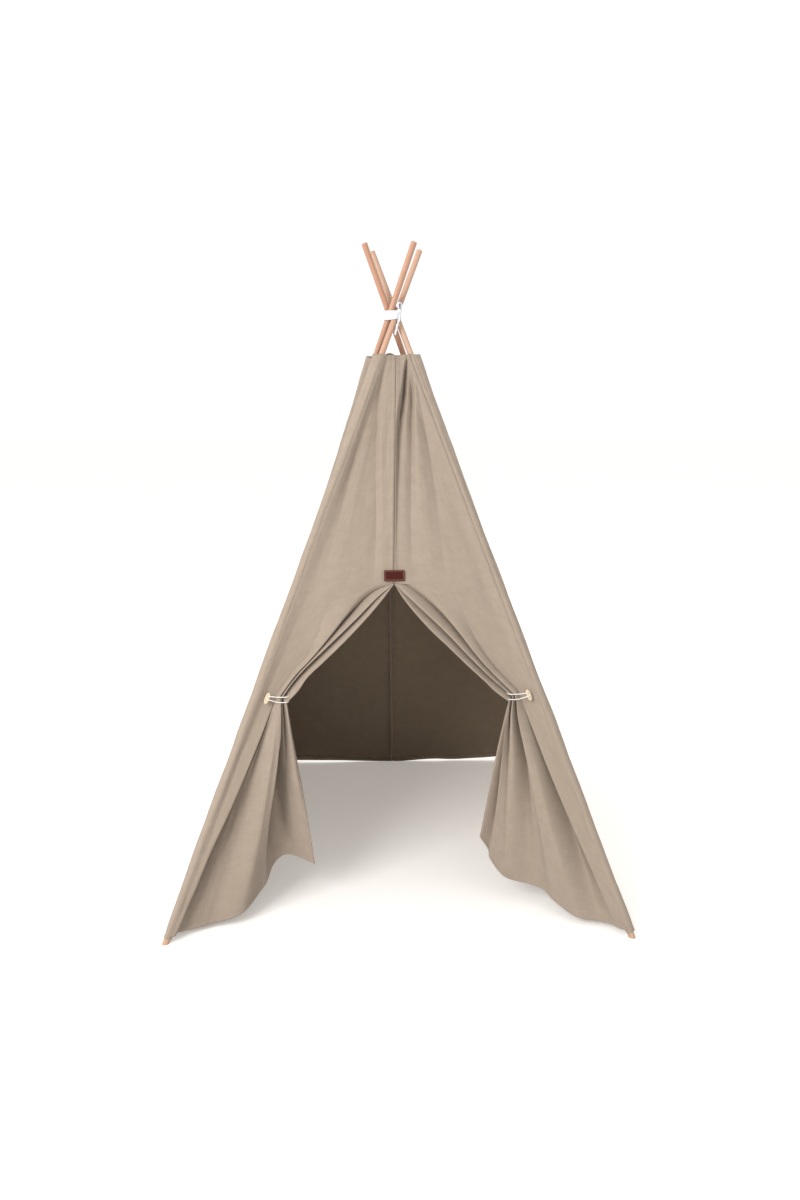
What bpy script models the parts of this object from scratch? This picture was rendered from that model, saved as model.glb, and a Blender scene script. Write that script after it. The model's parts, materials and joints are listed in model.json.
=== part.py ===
"""Child's play tent: four sectional wooden poles lashed near their tops, a canvas cover with a sleeve
round each pole, and a front slit whose two flaps are drawn back and held by cords and toggles.

Metres, +Z up. The origin is on the floor, in the middle of the four feet. The door faces -Y.
"""
import math

import bmesh
import bpy
from mathutils import Matrix, Vector

# Poles
BASE_WIDTH = 1.07
CROSSING_HEIGHT = 1.427
POLE_ABOVE_CROSSING = 0.1848
POLE_DIAMETER = 0.015
POLE_SECTIONS = 3
POLE_END_BEVEL = 0.0012
POLE_CROSSING_GAP = 0.0005
POLE_SIDES = 24

# Metal ferrules that join the pole sections
COUPLER_LENGTH = 0.080
COUPLER_WALL = 0.0008

# Clearance that parted pieces keep
FIT_GAP = 0.0003

# Canvas cover
CANVAS_THICKNESS = 0.001
CANVAS_BELOW_CROSSING = 0.102
HEM_HEIGHT = 0.014
SLEEVE_CLEARANCE = 0.0005
SLEEVE_FOOT_REVEAL = 0.012
SLEEVE_SIDES = 24
SEAM_CLEARANCE = 0.0008
WALL_SAG = 0.014
WALL_SAG_PEAK_SHARE = 0.8
TOP_FOLD_DEPTH = 0.007
TOP_FOLD_LENGTH = 0.425
WALL_COLUMNS = 8
WALL_ROWS = 10

# Door slit and its drawn back flaps. The seam share is the seam's place between the left and right sleeve
SEAM_PLACE_SHARE = 0.482
DOOR_APEX = 0.777
DOOR_EDGE_SAG = 0.018
GATHER_HEIGHT = 0.520
GATHER_INSET = 0.056
GATHER_WIDTH = 0.024
GATHER_DEPTH = 0.018
GATHER_BAND = 0.022
GATHER_PLEATS = 3
FLAP_FOLD_DEPTH = 0.026
EDGE_FOLD_DEPTH = 0.004
FLAP_STRIP_SHARE = 0.14
FLAP_SWELL_SHARE = 0.62
FLAP_ROWS_ABOVE_DOOR = 9
FLAP_ROWS_TO_GATHER = 11
FLAP_ROWS_BELOW_GATHER = 15

# Lashing of cotton tape round the crossing
TAPE_WIDTH = 0.028
TAPE_TURNS_THICKNESS = 0.0014
TAPE_SIDES = 32
TAPE_PROFILE_STEPS = 4
KNOT_WIDTH = 0.013
KNOT_DEPTH = 0.009
KNOT_HEIGHT = 0.015
KNOT_BEARING = math.radians(-52.0)
LOOP_RISE = 0.013
LOOP_SPAN = 0.013
LOOP_THICKNESS = 0.0045
LOOP_END = math.radians(-60.0)
LOOP_STEPS = 14
TAIL_LENGTH = 0.050
TAIL_RADIUS = 0.0032
TAIL_END_RADIUS = 0.0024
TAIL_DRIFT_SIDE = 0.0113
TAIL_DRIFT_FORWARD = 0.0046
TAIL_SIDES = 12
TAIL_STEPS = 16
TAIL_TURNS = 1.75
TAIL_RIDGE_SHARE = 0.16

# Toggles and tie-back cords
TOGGLE_LENGTH = 0.028
TOGGLE_WIDTH = 0.011
TOGGLE_THICKNESS = 0.005
TOGGLE_ROUNDING = 0.0022
TOGGLE_HOLE = 0.0042
TOGGLE_HOLE_SIDES = 16
TOGGLE_HOLE_SPACING = 0.0105
TOGGLE_INSET = 0.029
TOGGLE_STAND_OFF = 0.0085
CORD_DIAMETER = 0.0022
CORD_SIDE_GAP = 0.0009
CORD_STRAND_SPREAD = 0.013
CORD_LOOP_SQUARENESS = 0.5
CORD_TURN_BACK_SHARE = 0.55
CORD_END_SHARE = 0.6
CORD_EXIT_SHARE = 0.78
CORD_BEND_SHARE = 1.15

# Label sewn over the top of the door slit
LABEL_WIDTH = 0.050
LABEL_HEIGHT = 0.027
LABEL_THICKNESS = 0.0012
LABEL_LIFT = 0.018
LABEL_CORNER = 0.0015

# Cutters run this far past what they cut
CUT_OVERRUN = 0.010

# Points closer than this are one
MERGE_DISTANCE = 0.00005

# Sizes that follow from the ones above
BASE_HALF = BASE_WIDTH / 2
CANVAS_TOP = CROSSING_HEIGHT - CANVAS_BELOW_CROSSING
TOP_FOLD_END = CANVAS_TOP - TOP_FOLD_LENGTH
COUPLER_INNER = POLE_DIAMETER / 2 + FIT_GAP
COUPLER_OUTER = COUPLER_INNER + COUPLER_WALL
SLEEVE_INNER = COUPLER_OUTER + SLEEVE_CLEARANCE
SLEEVE_OUTER = SLEEVE_INNER + CANVAS_THICKNESS
POLE_BELOW_PIVOT = math.hypot(BASE_HALF * math.sqrt(2.0), CROSSING_HEIGHT)
POLE_LENGTH = POLE_BELOW_PIVOT + POLE_ABOVE_CROSSING
POLE_LEAN_COSINE = CROSSING_HEIGHT / POLE_BELOW_PIVOT

CORNERS = {
    "front_left": (-1, -1),
    "front_right": (1, -1),
    "back_right": (1, 1),
    "back_left": (-1, 1),
}

# Hem of each drawn back flap, from the foot to the free corner. Each row gives how far along the cloth it
# lies, then how far it has gone from the foot to the gather in X and in Y, then its height above the hem
# as a share of the gather's height.
HEM_SHARES = {
    "left": (
        (0.00, 0.00, 0.00, 0.000),
        (0.25, 0.36, 0.29, 0.000),
        (0.40, 0.57, 0.47, 0.030),
        (0.55, 0.73, 0.70, 0.085),
        (0.72, 0.93, 0.85, 0.195),
        (0.82, 1.04, 0.90, 0.210),
        (1.00, 1.27, 0.92, 0.165),
    ),
    "right": (
        (0.00, 0.00, 0.00, 0.000),
        (0.20, 0.20, 0.18, 0.000),
        (0.35, 0.38, 0.32, 0.005),
        (0.47, 0.56, 0.47, 0.035),
        (0.60, 0.72, 0.65, 0.070),
        (0.80, 1.04, 0.83, 0.095),
        (0.92, 1.20, 0.89, 0.180),
        (1.00, 1.30, 0.92, 0.290),
    ),
}

# Large folds of the hanging flap: place along the cloth, then depth, outward negative
FLAP_FOLD_SHARES = ((0.0, 0.0), (0.16, 1.0), (0.43, -0.9), (0.74, 1.0), (1.0, -0.3))


def clear_scene():
    for thing in list(bpy.data.objects):
        bpy.data.objects.remove(thing, do_unlink=True)


def new_collection(name):
    collection = bpy.data.collections.new(name)
    bpy.context.scene.collection.children.link(collection)
    return collection


clear_scene()
PARTS = new_collection("play_tent")
CUTTERS = new_collection("cutters")


def make_material(name, colour, roughness, metallic=0.0):
    material = bpy.data.materials.new(name)
    material.use_nodes = True
    shader = material.node_tree.nodes["Principled BSDF"]
    shader.inputs["Base Color"].default_value = (*colour, 1.0)
    shader.inputs["Roughness"].default_value = roughness
    shader.inputs["Metallic"].default_value = metallic
    return material


WOOD = make_material("pine_wood", (0.66, 0.40, 0.24), 0.55)
TOGGLE_WOOD = make_material("toggle_wood", (0.88, 0.74, 0.52), 0.5)
STEEL = make_material("coupler_steel", (0.62, 0.62, 0.60), 0.35, 1.0)
CANVAS = make_material("natural_canvas", (0.50, 0.41, 0.31), 0.9)
TAPE = make_material("white_cotton_tape", (0.86, 0.86, 0.87), 0.85)
CORD = make_material("white_cord", (0.88, 0.87, 0.84), 0.8)
LABEL = make_material("brown_label", (0.15, 0.035, 0.02), 0.6)


def smooth_step(value):
    value = min(max(value, 0.0), 1.0)
    return value * value * (3.0 - 2.0 * value)


def smooth_curve(rows, place):
    """Value of each column of rows at a place along the first column, as a smooth curve through them."""
    last = len(rows) - 1
    index = max(i for i in range(last) if rows[i][0] <= place or i == 0)
    before, start = rows[max(index - 1, 0)], rows[index]
    end, after = rows[index + 1], rows[min(index + 2, last)]
    span = end[0] - start[0]
    part = (place - start[0]) / span
    values = []
    for column in range(1, len(start)):
        slope_in = (end[column] - before[column]) / (end[0] - before[0])
        slope_out = (after[column] - start[column]) / (after[0] - start[0])
        h00 = 2 * part ** 3 - 3 * part ** 2 + 1
        h10 = part ** 3 - 2 * part ** 2 + part
        h01 = 3 * part ** 2 - 2 * part ** 3
        h11 = part ** 3 - part ** 2
        curve = h00 * start[column] + h01 * end[column]
        values.append(curve + span * (h10 * slope_in + h11 * slope_out))
    return values


def fold_axis(corner):
    """Horizontal axis that a pole folds about: turning about it by a positive angle brings the foot in."""
    side_x, side_y = CORNERS[corner]
    return Vector((-side_y, side_x, 0.0)).normalized()


def side_step():
    """How far each pole passes beside the middle, so that neighbouring poles cross without touching."""
    panel_lean = math.atan2(BASE_HALF, CROSSING_HEIGHT)
    return (POLE_DIAMETER + POLE_CROSSING_GAP) / (math.sqrt(2.0) * math.cos(panel_lean))


def pole_foot(corner):
    side_x, side_y = CORNERS[corner]
    return Vector((side_x * BASE_HALF, side_y * BASE_HALF, 0.0)) + side_step() * fold_axis(corner)


def pole_pivot(corner):
    return Vector((0.0, 0.0, CROSSING_HEIGHT)) + side_step() * fold_axis(corner)


def pole_direction(corner):
    return (pole_pivot(corner) - pole_foot(corner)).normalized()


def pole_point(corner, height):
    return pole_foot(corner).lerp(pole_pivot(corner), height / CROSSING_HEIGHT)


def seam_point(corner, neighbour, height):
    """Where the cloth towards a neighbouring pole leaves this pole's sleeve, at a height."""
    here = pole_point(corner, height)
    toward = (pole_point(neighbour, height) - here).normalized()
    slanted_radius = SLEEVE_OUTER / math.sqrt((POLE_LEAN_COSINE ** 2 + 1.0) / 2.0)
    return here + toward * (slanted_radius + SEAM_CLEARANCE)


def link_part(name, mesh, material, parent=None):
    thing = bpy.data.objects.new(name, mesh)
    PARTS.objects.link(thing)
    mesh.materials.append(material)
    thing.parent = parent
    return thing


def mesh_from(builder, name):
    mesh = bpy.data.meshes.new(name)
    builder.to_mesh(mesh)
    builder.free()
    mesh.shade_smooth()
    mesh.set_sharp_from_angle(angle=math.radians(40.0))
    return mesh


def add_solidify(thing, thickness, offset):
    shell = thing.modifiers.new("thickness", "SOLIDIFY")
    shell.thickness = thickness
    shell.offset = offset
    shell.use_even_offset = False


def add_pivot(corner):
    """Empty on the pole's fold joint, with its own +Z along the pole."""
    empty = bpy.data.objects.new("pivot_" + corner, None)
    PARTS.objects.link(empty)
    turn = pole_direction(corner).to_track_quat("Z", "Y").to_matrix().to_4x4()
    empty.matrix_world = Matrix.Translation(pole_pivot(corner)) @ turn
    return empty


def rod_between(low, high, radius, sides, closed):
    """Cylinder about the local Z axis from low to high."""
    builder = bmesh.new()
    bmesh.ops.create_cone(
        builder,
        cap_ends=closed,
        segments=sides,
        radius1=radius,
        radius2=radius,
        depth=high - low,
        matrix=Matrix.Translation((0.0, 0.0, (low + high) / 2)),
    )
    return builder


def cut_foot_level(builder, corner):
    """Cuts a pole's lower end level with the floor, in the pole's own frame."""
    turn = pole_direction(corner).to_track_quat("Z", "Y").inverted()
    floor_point = turn @ (pole_foot(corner) - pole_pivot(corner))
    geometry = builder.verts[:] + builder.edges[:] + builder.faces[:]
    cut = bmesh.ops.bisect_plane(
        builder,
        geom=geometry,
        plane_co=floor_point,
        plane_no=turn @ Vector((0.0, 0.0, 1.0)),
        clear_inner=True,
    )
    rim = [item for item in cut["geom_cut"] if isinstance(item, bmesh.types.BMEdge)]
    bmesh.ops.contextual_create(builder, geom=rim)


def add_pole(corner, pivot):
    section = POLE_LENGTH / POLE_SECTIONS
    names = ("lower", "middle", "upper")
    for index in range(POLE_SECTIONS):
        low = -POLE_BELOW_PIVOT + index * section + (FIT_GAP / 2 if index else -CUT_OVERRUN)
        high = -POLE_BELOW_PIVOT + (index + 1) * section - (FIT_GAP / 2 if index < POLE_SECTIONS - 1 else 0.0)
        builder = rod_between(low, high, POLE_DIAMETER / 2, POLE_SIDES, True)
        if index == 0:
            cut_foot_level(builder, corner)
        name = "pole_{}_{}".format(corner, names[index])
        rod = link_part(name, mesh_from(builder, name), WOOD, pivot)
        bevel = rod.modifiers.new("end_bevel", "BEVEL")
        bevel.width = POLE_END_BEVEL
        bevel.segments = 1
        bevel.limit_method = "ANGLE"
        bevel.angle_limit = math.radians(50.0)


def add_couplers(corner, pivot):
    section = POLE_LENGTH / POLE_SECTIONS
    for index in range(1, POLE_SECTIONS):
        middle = -POLE_BELOW_PIVOT + index * section
        low, high = middle - COUPLER_LENGTH / 2, middle + COUPLER_LENGTH / 2
        name = "coupler_{}_{}".format(corner, "lower" if index == 1 else "upper")
        builder = rod_between(low, high, COUPLER_INNER, POLE_SIDES, False)
        tube = link_part(name, mesh_from(builder, name), STEEL, pivot)
        add_solidify(tube, COUPLER_WALL, 1.0)


def add_sleeve(corner, pivot):
    low = -POLE_BELOW_PIVOT + SLEEVE_FOOT_REVEAL
    high = -(CROSSING_HEIGHT - CANVAS_TOP) / POLE_LEAN_COSINE
    name = "sleeve_" + corner
    builder = rod_between(low, high, SLEEVE_INNER, SLEEVE_SIDES, False)
    tube = link_part(name, mesh_from(builder, name), CANVAS, pivot)
    add_solidify(tube, CANVAS_THICKNESS, 1.0)


def add_sheet(name, rows):
    """Cloth with its thickness, from rows of points that all hold as many points."""
    builder = bmesh.new()
    grid = [[builder.verts.new(point) for point in row] for row in rows]
    for upper, lower in zip(grid, grid[1:]):
        for index in range(len(upper) - 1):
            builder.faces.new((upper[index], lower[index], lower[index + 1], upper[index + 1]))
    bmesh.ops.recalc_face_normals(builder, faces=builder.faces)
    mesh = mesh_from(builder, name)
    add_solidify(link_part(name, mesh, CANVAS), CANVAS_THICKNESS, 0.0)


def outward(corner, neighbour):
    """Outward normal of the wall between two poles."""
    along = pole_foot(neighbour) - pole_foot(corner)
    normal = along.cross(pole_pivot(corner) - pole_foot(corner)).normalized()
    middle = (pole_foot(neighbour) + pole_foot(corner)) / 2
    return normal if normal.dot(middle) > 0.0 else -normal


def top_fold(height):
    """Depth of the folds that the gathered top of the cover makes, fading out further down."""
    return TOP_FOLD_DEPTH * smooth_step((height - TOP_FOLD_END) / (CANVAS_TOP - TOP_FOLD_END))


def wall_sag(across, height):
    down = 1.0 - height / CANVAS_TOP
    return WALL_SAG * math.sin(math.pi * across) * math.sin(math.pi * down * WALL_SAG_PEAK_SHARE)


def wall_point(corner, neighbour, across, height):
    """Point of a wall that hangs a little slack between two sleeves, across running from 0 to 1."""
    start, end = seam_point(corner, neighbour, height), seam_point(neighbour, corner, height)
    fold = top_fold(height) * math.sin(4.0 * math.pi * across)
    return start.lerp(end, across) + outward(corner, neighbour) * (fold - wall_sag(across, height))


def wall_heights(rows, top, bottom):
    return [top + (bottom - top) * index / rows for index in range(rows + 1)]


def add_side_panel(name, corner, neighbour):
    rows = []
    for height in wall_heights(WALL_ROWS, CANVAS_TOP, HEM_HEIGHT):
        steps = range(WALL_COLUMNS + 1)
        rows.append([wall_point(corner, neighbour, step / WALL_COLUMNS, height) for step in steps])
    add_sheet(name, rows)


def add_back_panels():
    """Two cloths that meet at a seam down the middle of the back."""
    for side, other in (("left", "right"), ("right", "left")):
        corner, neighbour = "back_" + side, "back_" + other
        rows = []
        for height in wall_heights(WALL_ROWS, CANVAS_TOP, HEM_HEIGHT):
            start, end = seam_point(corner, neighbour, height), seam_point(neighbour, corner, height)
            half = 0.5 - FIT_GAP / 2 / (end - start).length
            steps = [half * step / WALL_COLUMNS for step in range(WALL_COLUMNS + 1)]
            rows.append([back_point(corner, neighbour, across, height) for across in steps])
        add_sheet("back_panel_" + side, rows)


def back_point(corner, neighbour, across, height):
    """The back wall is alike on both sides of its seam, so its folds mirror across the middle."""
    start, end = seam_point(corner, neighbour, height), seam_point(neighbour, corner, height)
    fold = top_fold(height) * math.sin(2.0 * math.pi * across) ** 2
    return start.lerp(end, across) - outward(corner, neighbour) * (fold + wall_sag(across, height))


class Flap:
    """One half of the front wall, with its drawn back door flap. Across runs from the sleeve, 0, to the
    free edge, 1."""

    def __init__(self, side):
        self.side = side
        self.corner = "front_" + side
        self.neighbour = "front_right" if side == "left" else "front_left"
        self.normal = outward("front_left", "front_right")
        door_length = (DOOR_APEX - GATHER_HEIGHT) * POLE_BELOW_PIVOT / CROSSING_HEIGHT
        self.gather_row_height = DOOR_APEX - math.hypot(door_length, self.gather_reach())

    def gather_reach(self):
        """Distance sideways from the middle of the door to the gather."""
        seam = seam_point(self.corner, self.neighbour, GATHER_HEIGHT)
        return abs(seam.x) - GATHER_INSET

    def middle(self, height):
        start = seam_point(self.corner, self.neighbour, height)
        end = seam_point(self.neighbour, self.corner, height)
        place = SEAM_PLACE_SHARE if self.side == "left" else 1.0 - SEAM_PLACE_SHARE
        return start.lerp(end, place - FIT_GAP / 2 / (end - start).length)

    def gather_centre(self):
        seam = seam_point(self.corner, self.neighbour, GATHER_HEIGHT)
        inward = (self.middle(GATHER_HEIGHT) - seam).normalized()
        return seam + inward * GATHER_INSET

    def above_door(self, across, height):
        start = seam_point(self.corner, self.neighbour, height)
        fold = top_fold(height) * math.sin(math.pi * across) ** 2
        return start.lerp(self.middle(height), across) - self.normal * fold

    def at_gather(self, across, rise):
        """A row that the tie-back cord bunches, in pleats, a little above or below the gather's middle."""
        start = seam_point(self.corner, self.neighbour, self.gather_row_height + rise)
        centre = self.gather_centre() + Vector((0.0, 0.0, rise))
        inward = (self.middle(GATHER_HEIGHT) - self.gather_centre()).normalized()
        near = centre - inward * GATHER_WIDTH / 2
        if across <= FLAP_STRIP_SHARE:
            return start.lerp(near, across / FLAP_STRIP_SHARE)
        part = (across - FLAP_STRIP_SHARE) / (1.0 - FLAP_STRIP_SHARE)
        depth = GATHER_DEPTH / 2 * math.sin(2.0 * math.pi * GATHER_PLEATS * part)
        return near + inward * GATHER_WIDTH * part + Vector((0.0, -depth, 0.0))

    def at_hem(self, across):
        foot = seam_point(self.corner, self.neighbour, HEM_HEIGHT)
        gather = self.gather_centre()
        share_x, share_y, share_z = smooth_curve(HEM_SHARES[self.side], across)
        return Vector((
            foot.x + (gather.x - foot.x) * share_x,
            foot.y + (gather.y - foot.y) * share_y,
            HEM_HEIGHT + GATHER_HEIGHT * share_z,
        ))

    def to_gather(self, across, part):
        """Between the top of the door slit and the gather, where the free edge sweeps aside."""
        start, end = self.above_door(across, DOOR_APEX), self.at_gather(across, GATHER_BAND / 2)
        reach = across ** 2 * 4.0 * part * (1.0 - part)
        edge_wave = math.sin(2.0 * math.pi * GATHER_PLEATS * across) * math.sin(math.pi * part)
        fold = EDGE_FOLD_DEPTH * across * edge_wave
        return start.lerp(end, part) + Vector((0.0, 0.0, -DOOR_EDGE_SAG * reach)) + self.normal * fold

    def below_gather(self, across, part):
        """The hanging part of the flap, fanned out from the gather to the hem."""
        start, end = self.at_gather(across, -GATHER_BAND / 2), self.at_hem(across)
        chord = self.at_hem(1.0) - self.at_hem(0.0)
        facing = Vector((chord.y, -chord.x, 0.0)).normalized()
        if facing.y > 0.0:
            facing = -facing
        depth = smooth_curve(FLAP_FOLD_SHARES, across)[0]
        swell = math.sin(math.pi * part * FLAP_SWELL_SHARE) * math.sin(math.pi * min(across * 4.0, 0.5))
        return start.lerp(end, part) - facing * FLAP_FOLD_DEPTH * depth * swell

    def columns(self):
        strip_steps, pleat_steps = 2, 4 * GATHER_PLEATS
        near = [FLAP_STRIP_SHARE * step / strip_steps for step in range(strip_steps)]
        rest = 1.0 - FLAP_STRIP_SHARE
        return near + [FLAP_STRIP_SHARE + rest * step / pleat_steps for step in range(pleat_steps + 1)]

    def rows(self):
        across = self.columns()
        rows = [
            [self.above_door(place, height) for place in across]
            for height in wall_heights(FLAP_ROWS_ABOVE_DOOR, CANVAS_TOP, DOOR_APEX)
        ]
        for step in range(1, FLAP_ROWS_TO_GATHER + 1):
            rows.append([self.to_gather(place, step / FLAP_ROWS_TO_GATHER) for place in across])
        for step in range(FLAP_ROWS_BELOW_GATHER + 1):
            rows.append([self.below_gather(place, step / FLAP_ROWS_BELOW_GATHER) for place in across])
        return rows


def add_front_panel(side):
    add_sheet("front_panel_" + side, Flap(side).rows())


def bundle_radius(rise):
    """Radius that clears the bundle of poles at a height above or below their crossing."""
    lean = math.tan(math.acos(POLE_LEAN_COSINE))
    slanted = POLE_DIAMETER / 2 / POLE_LEAN_COSINE
    return math.hypot(side_step(), rise * lean) + slanted + FIT_GAP


def add_lashing_tape():
    """Band of tape turned round the bundle of poles, drawn in at its middle as they are."""
    outer, inner = [], []
    for step in range(TAPE_PROFILE_STEPS + 1):
        rise = TAPE_WIDTH * (0.5 - step / TAPE_PROFILE_STEPS)
        radius = bundle_radius(rise)
        outer.append((radius + TAPE_TURNS_THICKNESS, 0.0, CROSSING_HEIGHT + rise))
        inner.append((radius, 0.0, CROSSING_HEIGHT + rise))
    profile = outer + inner[::-1]
    builder = bmesh.new()
    ring = [builder.verts.new(point) for point in profile]
    for index, vertex in enumerate(ring):
        builder.edges.new((vertex, ring[(index + 1) % len(ring)]))
    mesh = bpy.data.meshes.new("lashing_tape")
    builder.to_mesh(mesh)
    builder.free()
    band = link_part("lashing_tape", mesh, TAPE)
    turn = band.modifiers.new("turn", "SCREW")
    turn.steps = TAPE_SIDES
    turn.render_steps = TAPE_SIDES
    turn.use_merge_vertices = True
    turn.merge_threshold = MERGE_DISTANCE
    turn.use_smooth_shade = True


def knot_place():
    """Middle of the knot, whose rounded back rests against the drawn-in band at its nearest height."""
    rise = TAPE_WIDTH / 2 - KNOT_HEIGHT / 2
    radius = 0.0
    for step in range(TAPE_PROFILE_STEPS + 1):
        turn = math.pi * step / TAPE_PROFILE_STEPS
        band = bundle_radius(rise + KNOT_HEIGHT / 2 * math.cos(turn)) + TAPE_TURNS_THICKNESS
        radius = max(radius, band + FIT_GAP + KNOT_DEPTH / 2 * math.sin(turn))
    height = CROSSING_HEIGHT + rise
    return Vector((radius * math.cos(KNOT_BEARING), radius * math.sin(KNOT_BEARING), height))


def add_knot():
    builder = bmesh.new()
    bmesh.ops.create_uvsphere(builder, u_segments=16, v_segments=10, radius=1.0)
    bmesh.ops.scale(builder, verts=builder.verts, vec=(KNOT_DEPTH / 2, KNOT_WIDTH / 2, KNOT_HEIGHT / 2))
    bmesh.ops.rotate(builder, verts=builder.verts, matrix=Matrix.Rotation(KNOT_BEARING, 3, "Z"))
    bmesh.ops.translate(builder, verts=builder.verts, vec=knot_place())
    link_part("lashing_knot", mesh_from(builder, "lashing_knot"), TAPE)


def tube_along(name, points, radius, material):
    """Tube with filled caps along points that are joined by straight runs."""
    curve = bpy.data.curves.new(name, "CURVE")
    curve.dimensions = "3D"
    curve.bevel_depth = radius
    curve.bevel_resolution = 2
    curve.use_fill_caps = True
    spline = curve.splines.new("POLY")
    spline.points.add(len(points) - 1)
    for item, point in zip(spline.points, points):
        item.co = (*point, 1.0)
    thing = bpy.data.objects.new(name, curve)
    curve.materials.append(material)
    PARTS.objects.link(thing)


def add_loop():
    """Loop of the bow, standing on top of the knot."""
    along = Vector((-math.sin(KNOT_BEARING), math.cos(KNOT_BEARING), 0.0))
    foot_out = (LOOP_SPAN + LOOP_THICKNESS) / 2 * math.cos(LOOP_END)
    foot_down = (LOOP_RISE + LOOP_THICKNESS) / 2 * math.sin(LOOP_END)
    knot_share = max(1.0 - (foot_out / (KNOT_WIDTH / 2)) ** 2, 0.0)
    seat = KNOT_HEIGHT / 2 * math.sqrt(knot_share) + FIT_GAP
    centre = knot_place() + Vector((0.0, 0.0, seat - foot_down))
    points = []
    for step in range(LOOP_STEPS + 1):
        turn = LOOP_END + (math.pi - 2.0 * LOOP_END) * step / LOOP_STEPS
        side = along * LOOP_SPAN / 2 * math.cos(turn)
        points.append(centre + side + Vector((0.0, 0.0, LOOP_RISE / 2 * math.sin(turn))))
    tube_along("lashing_loop", points, LOOP_THICKNESS / 2, TAPE)


def add_tail():
    """Twisted end of the tape, hanging from the knot between the poles."""
    out = Vector((math.cos(KNOT_BEARING), math.sin(KNOT_BEARING), 0.0))
    widest = TAIL_RADIUS * (1.0 + TAIL_RIDGE_SHARE)
    start = out * (bundle_radius(TAPE_WIDTH / 2) + TAPE_TURNS_THICKNESS + FIT_GAP + widest)
    start.z = knot_place().z - KNOT_HEIGHT / 2 - FIT_GAP
    drift = Vector((-TAIL_DRIFT_SIDE, -TAIL_DRIFT_FORWARD, 0.0))
    builder = bmesh.new()
    rings = []
    for step in range(TAIL_STEPS + 1):
        part = step / TAIL_STEPS
        centre = start + drift * smooth_step(part) + Vector((0.0, 0.0, -TAIL_LENGTH * part))
        radius = TAIL_RADIUS + (TAIL_END_RADIUS - TAIL_RADIUS) * part
        ring = []
        for side in range(TAIL_SIDES):
            turn = 2.0 * math.pi * side / TAIL_SIDES
            ridge = 1.0 + TAIL_RIDGE_SHARE * math.cos(2.0 * turn + 2.0 * math.pi * TAIL_TURNS * part)
            offset = Vector((math.cos(turn), math.sin(turn), 0.0)) * radius * ridge
            ring.append(builder.verts.new(centre + offset))
        rings.append(ring)
    for upper, lower in zip(rings, rings[1:]):
        for side in range(TAIL_SIDES):
            after = (side + 1) % TAIL_SIDES
            builder.faces.new((upper[side], lower[side], lower[after], upper[after]))
    builder.faces.new(rings[0])
    builder.faces.new(rings[-1][::-1])
    bmesh.ops.recalc_face_normals(builder, faces=builder.faces)
    link_part("lashing_tail", mesh_from(builder, "lashing_tail"), TAPE)


def toggle_frame(side):
    """Centre of a toggle and its axes: along its length, across it, and outward from the wall."""
    corner = "front_" + side
    neighbour = "front_right" if side == "left" else "front_left"
    axis_point = pole_point(corner, GATHER_HEIGHT)
    outward_axis = outward("front_left", "front_right")
    inward = (pole_point(neighbour, GATHER_HEIGHT) - axis_point).normalized()
    centre = axis_point + inward * TOGGLE_INSET + outward_axis * TOGGLE_STAND_OFF
    length_axis = pole_direction(corner)
    length_axis = (length_axis - outward_axis * length_axis.dot(outward_axis)).normalized()
    across_axis = outward_axis.cross(length_axis).normalized()
    return centre, length_axis, across_axis, outward_axis


def frame_matrix(centre, length_axis, across_axis, outward_axis):
    turn = Matrix((across_axis, length_axis, outward_axis)).transposed().to_4x4()
    return Matrix.Translation(centre) @ turn


def add_toggle(side):
    """Flat oblong wooden toggle with two holes."""
    name = "toggle_" + side
    builder = bmesh.new()
    bmesh.ops.create_cube(builder, size=1.0)
    bmesh.ops.scale(builder, verts=builder.verts, vec=(TOGGLE_WIDTH, TOGGLE_LENGTH, TOGGLE_THICKNESS))
    toggle = link_part(name, mesh_from(builder, name), TOGGLE_WOOD)
    toggle.matrix_world = frame_matrix(*toggle_frame(side))
    bevel = toggle.modifiers.new("rounding", "BEVEL")
    bevel.width = TOGGLE_ROUNDING
    bevel.segments = 2
    bevel.limit_method = "NONE"
    for index, way in enumerate((-1, 1)):
        cut_name = "{}_hole_{}".format(name, index)
        half = TOGGLE_THICKNESS / 2 + CUT_OVERRUN
        drill = rod_between(-half, half, TOGGLE_HOLE / 2, TOGGLE_HOLE_SIDES, True)
        cut = bpy.data.objects.new(cut_name, mesh_from(drill, cut_name))
        CUTTERS.objects.link(cut)
        cut.hide_render = True
        cut.display_type = "WIRE"
        offset = Matrix.Translation((0.0, way * TOGGLE_HOLE_SPACING / 2, 0.0))
        cut.matrix_world = frame_matrix(*toggle_frame(side)) @ offset
        hole = toggle.modifiers.new("hole", "BOOLEAN")
        hole.operation = "DIFFERENCE"
        hole.object = cut


def smooth_path(points, count):
    """Smooth path through points that lie unevenly far apart, with count steps between each pair."""
    last = len(points) - 1
    tangents = []
    for index, point in enumerate(points):
        before = point - points[max(index - 1, 0)]
        after = points[min(index + 1, last)] - point
        if index == 0 or index == last:
            tangents.append(before + after)
            continue
        way = before.normalized() * after.length + after.normalized() * before.length
        tangents.append(way.normalized() * min(before.length, after.length))
    path = []
    for index in range(last):
        for step in range(count):
            part = step / count
            h00 = 2 * part ** 3 - 3 * part ** 2 + 1
            h10 = part ** 3 - 2 * part ** 2 + part
            h01 = 3 * part ** 2 - 2 * part ** 3
            h11 = part ** 3 - part ** 2
            along = points[index] * h00 + points[index + 1] * h01
            path.append(along + tangents[index] * h10 + tangents[index + 1] * h11)
    return path + [points[last]]


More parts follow.
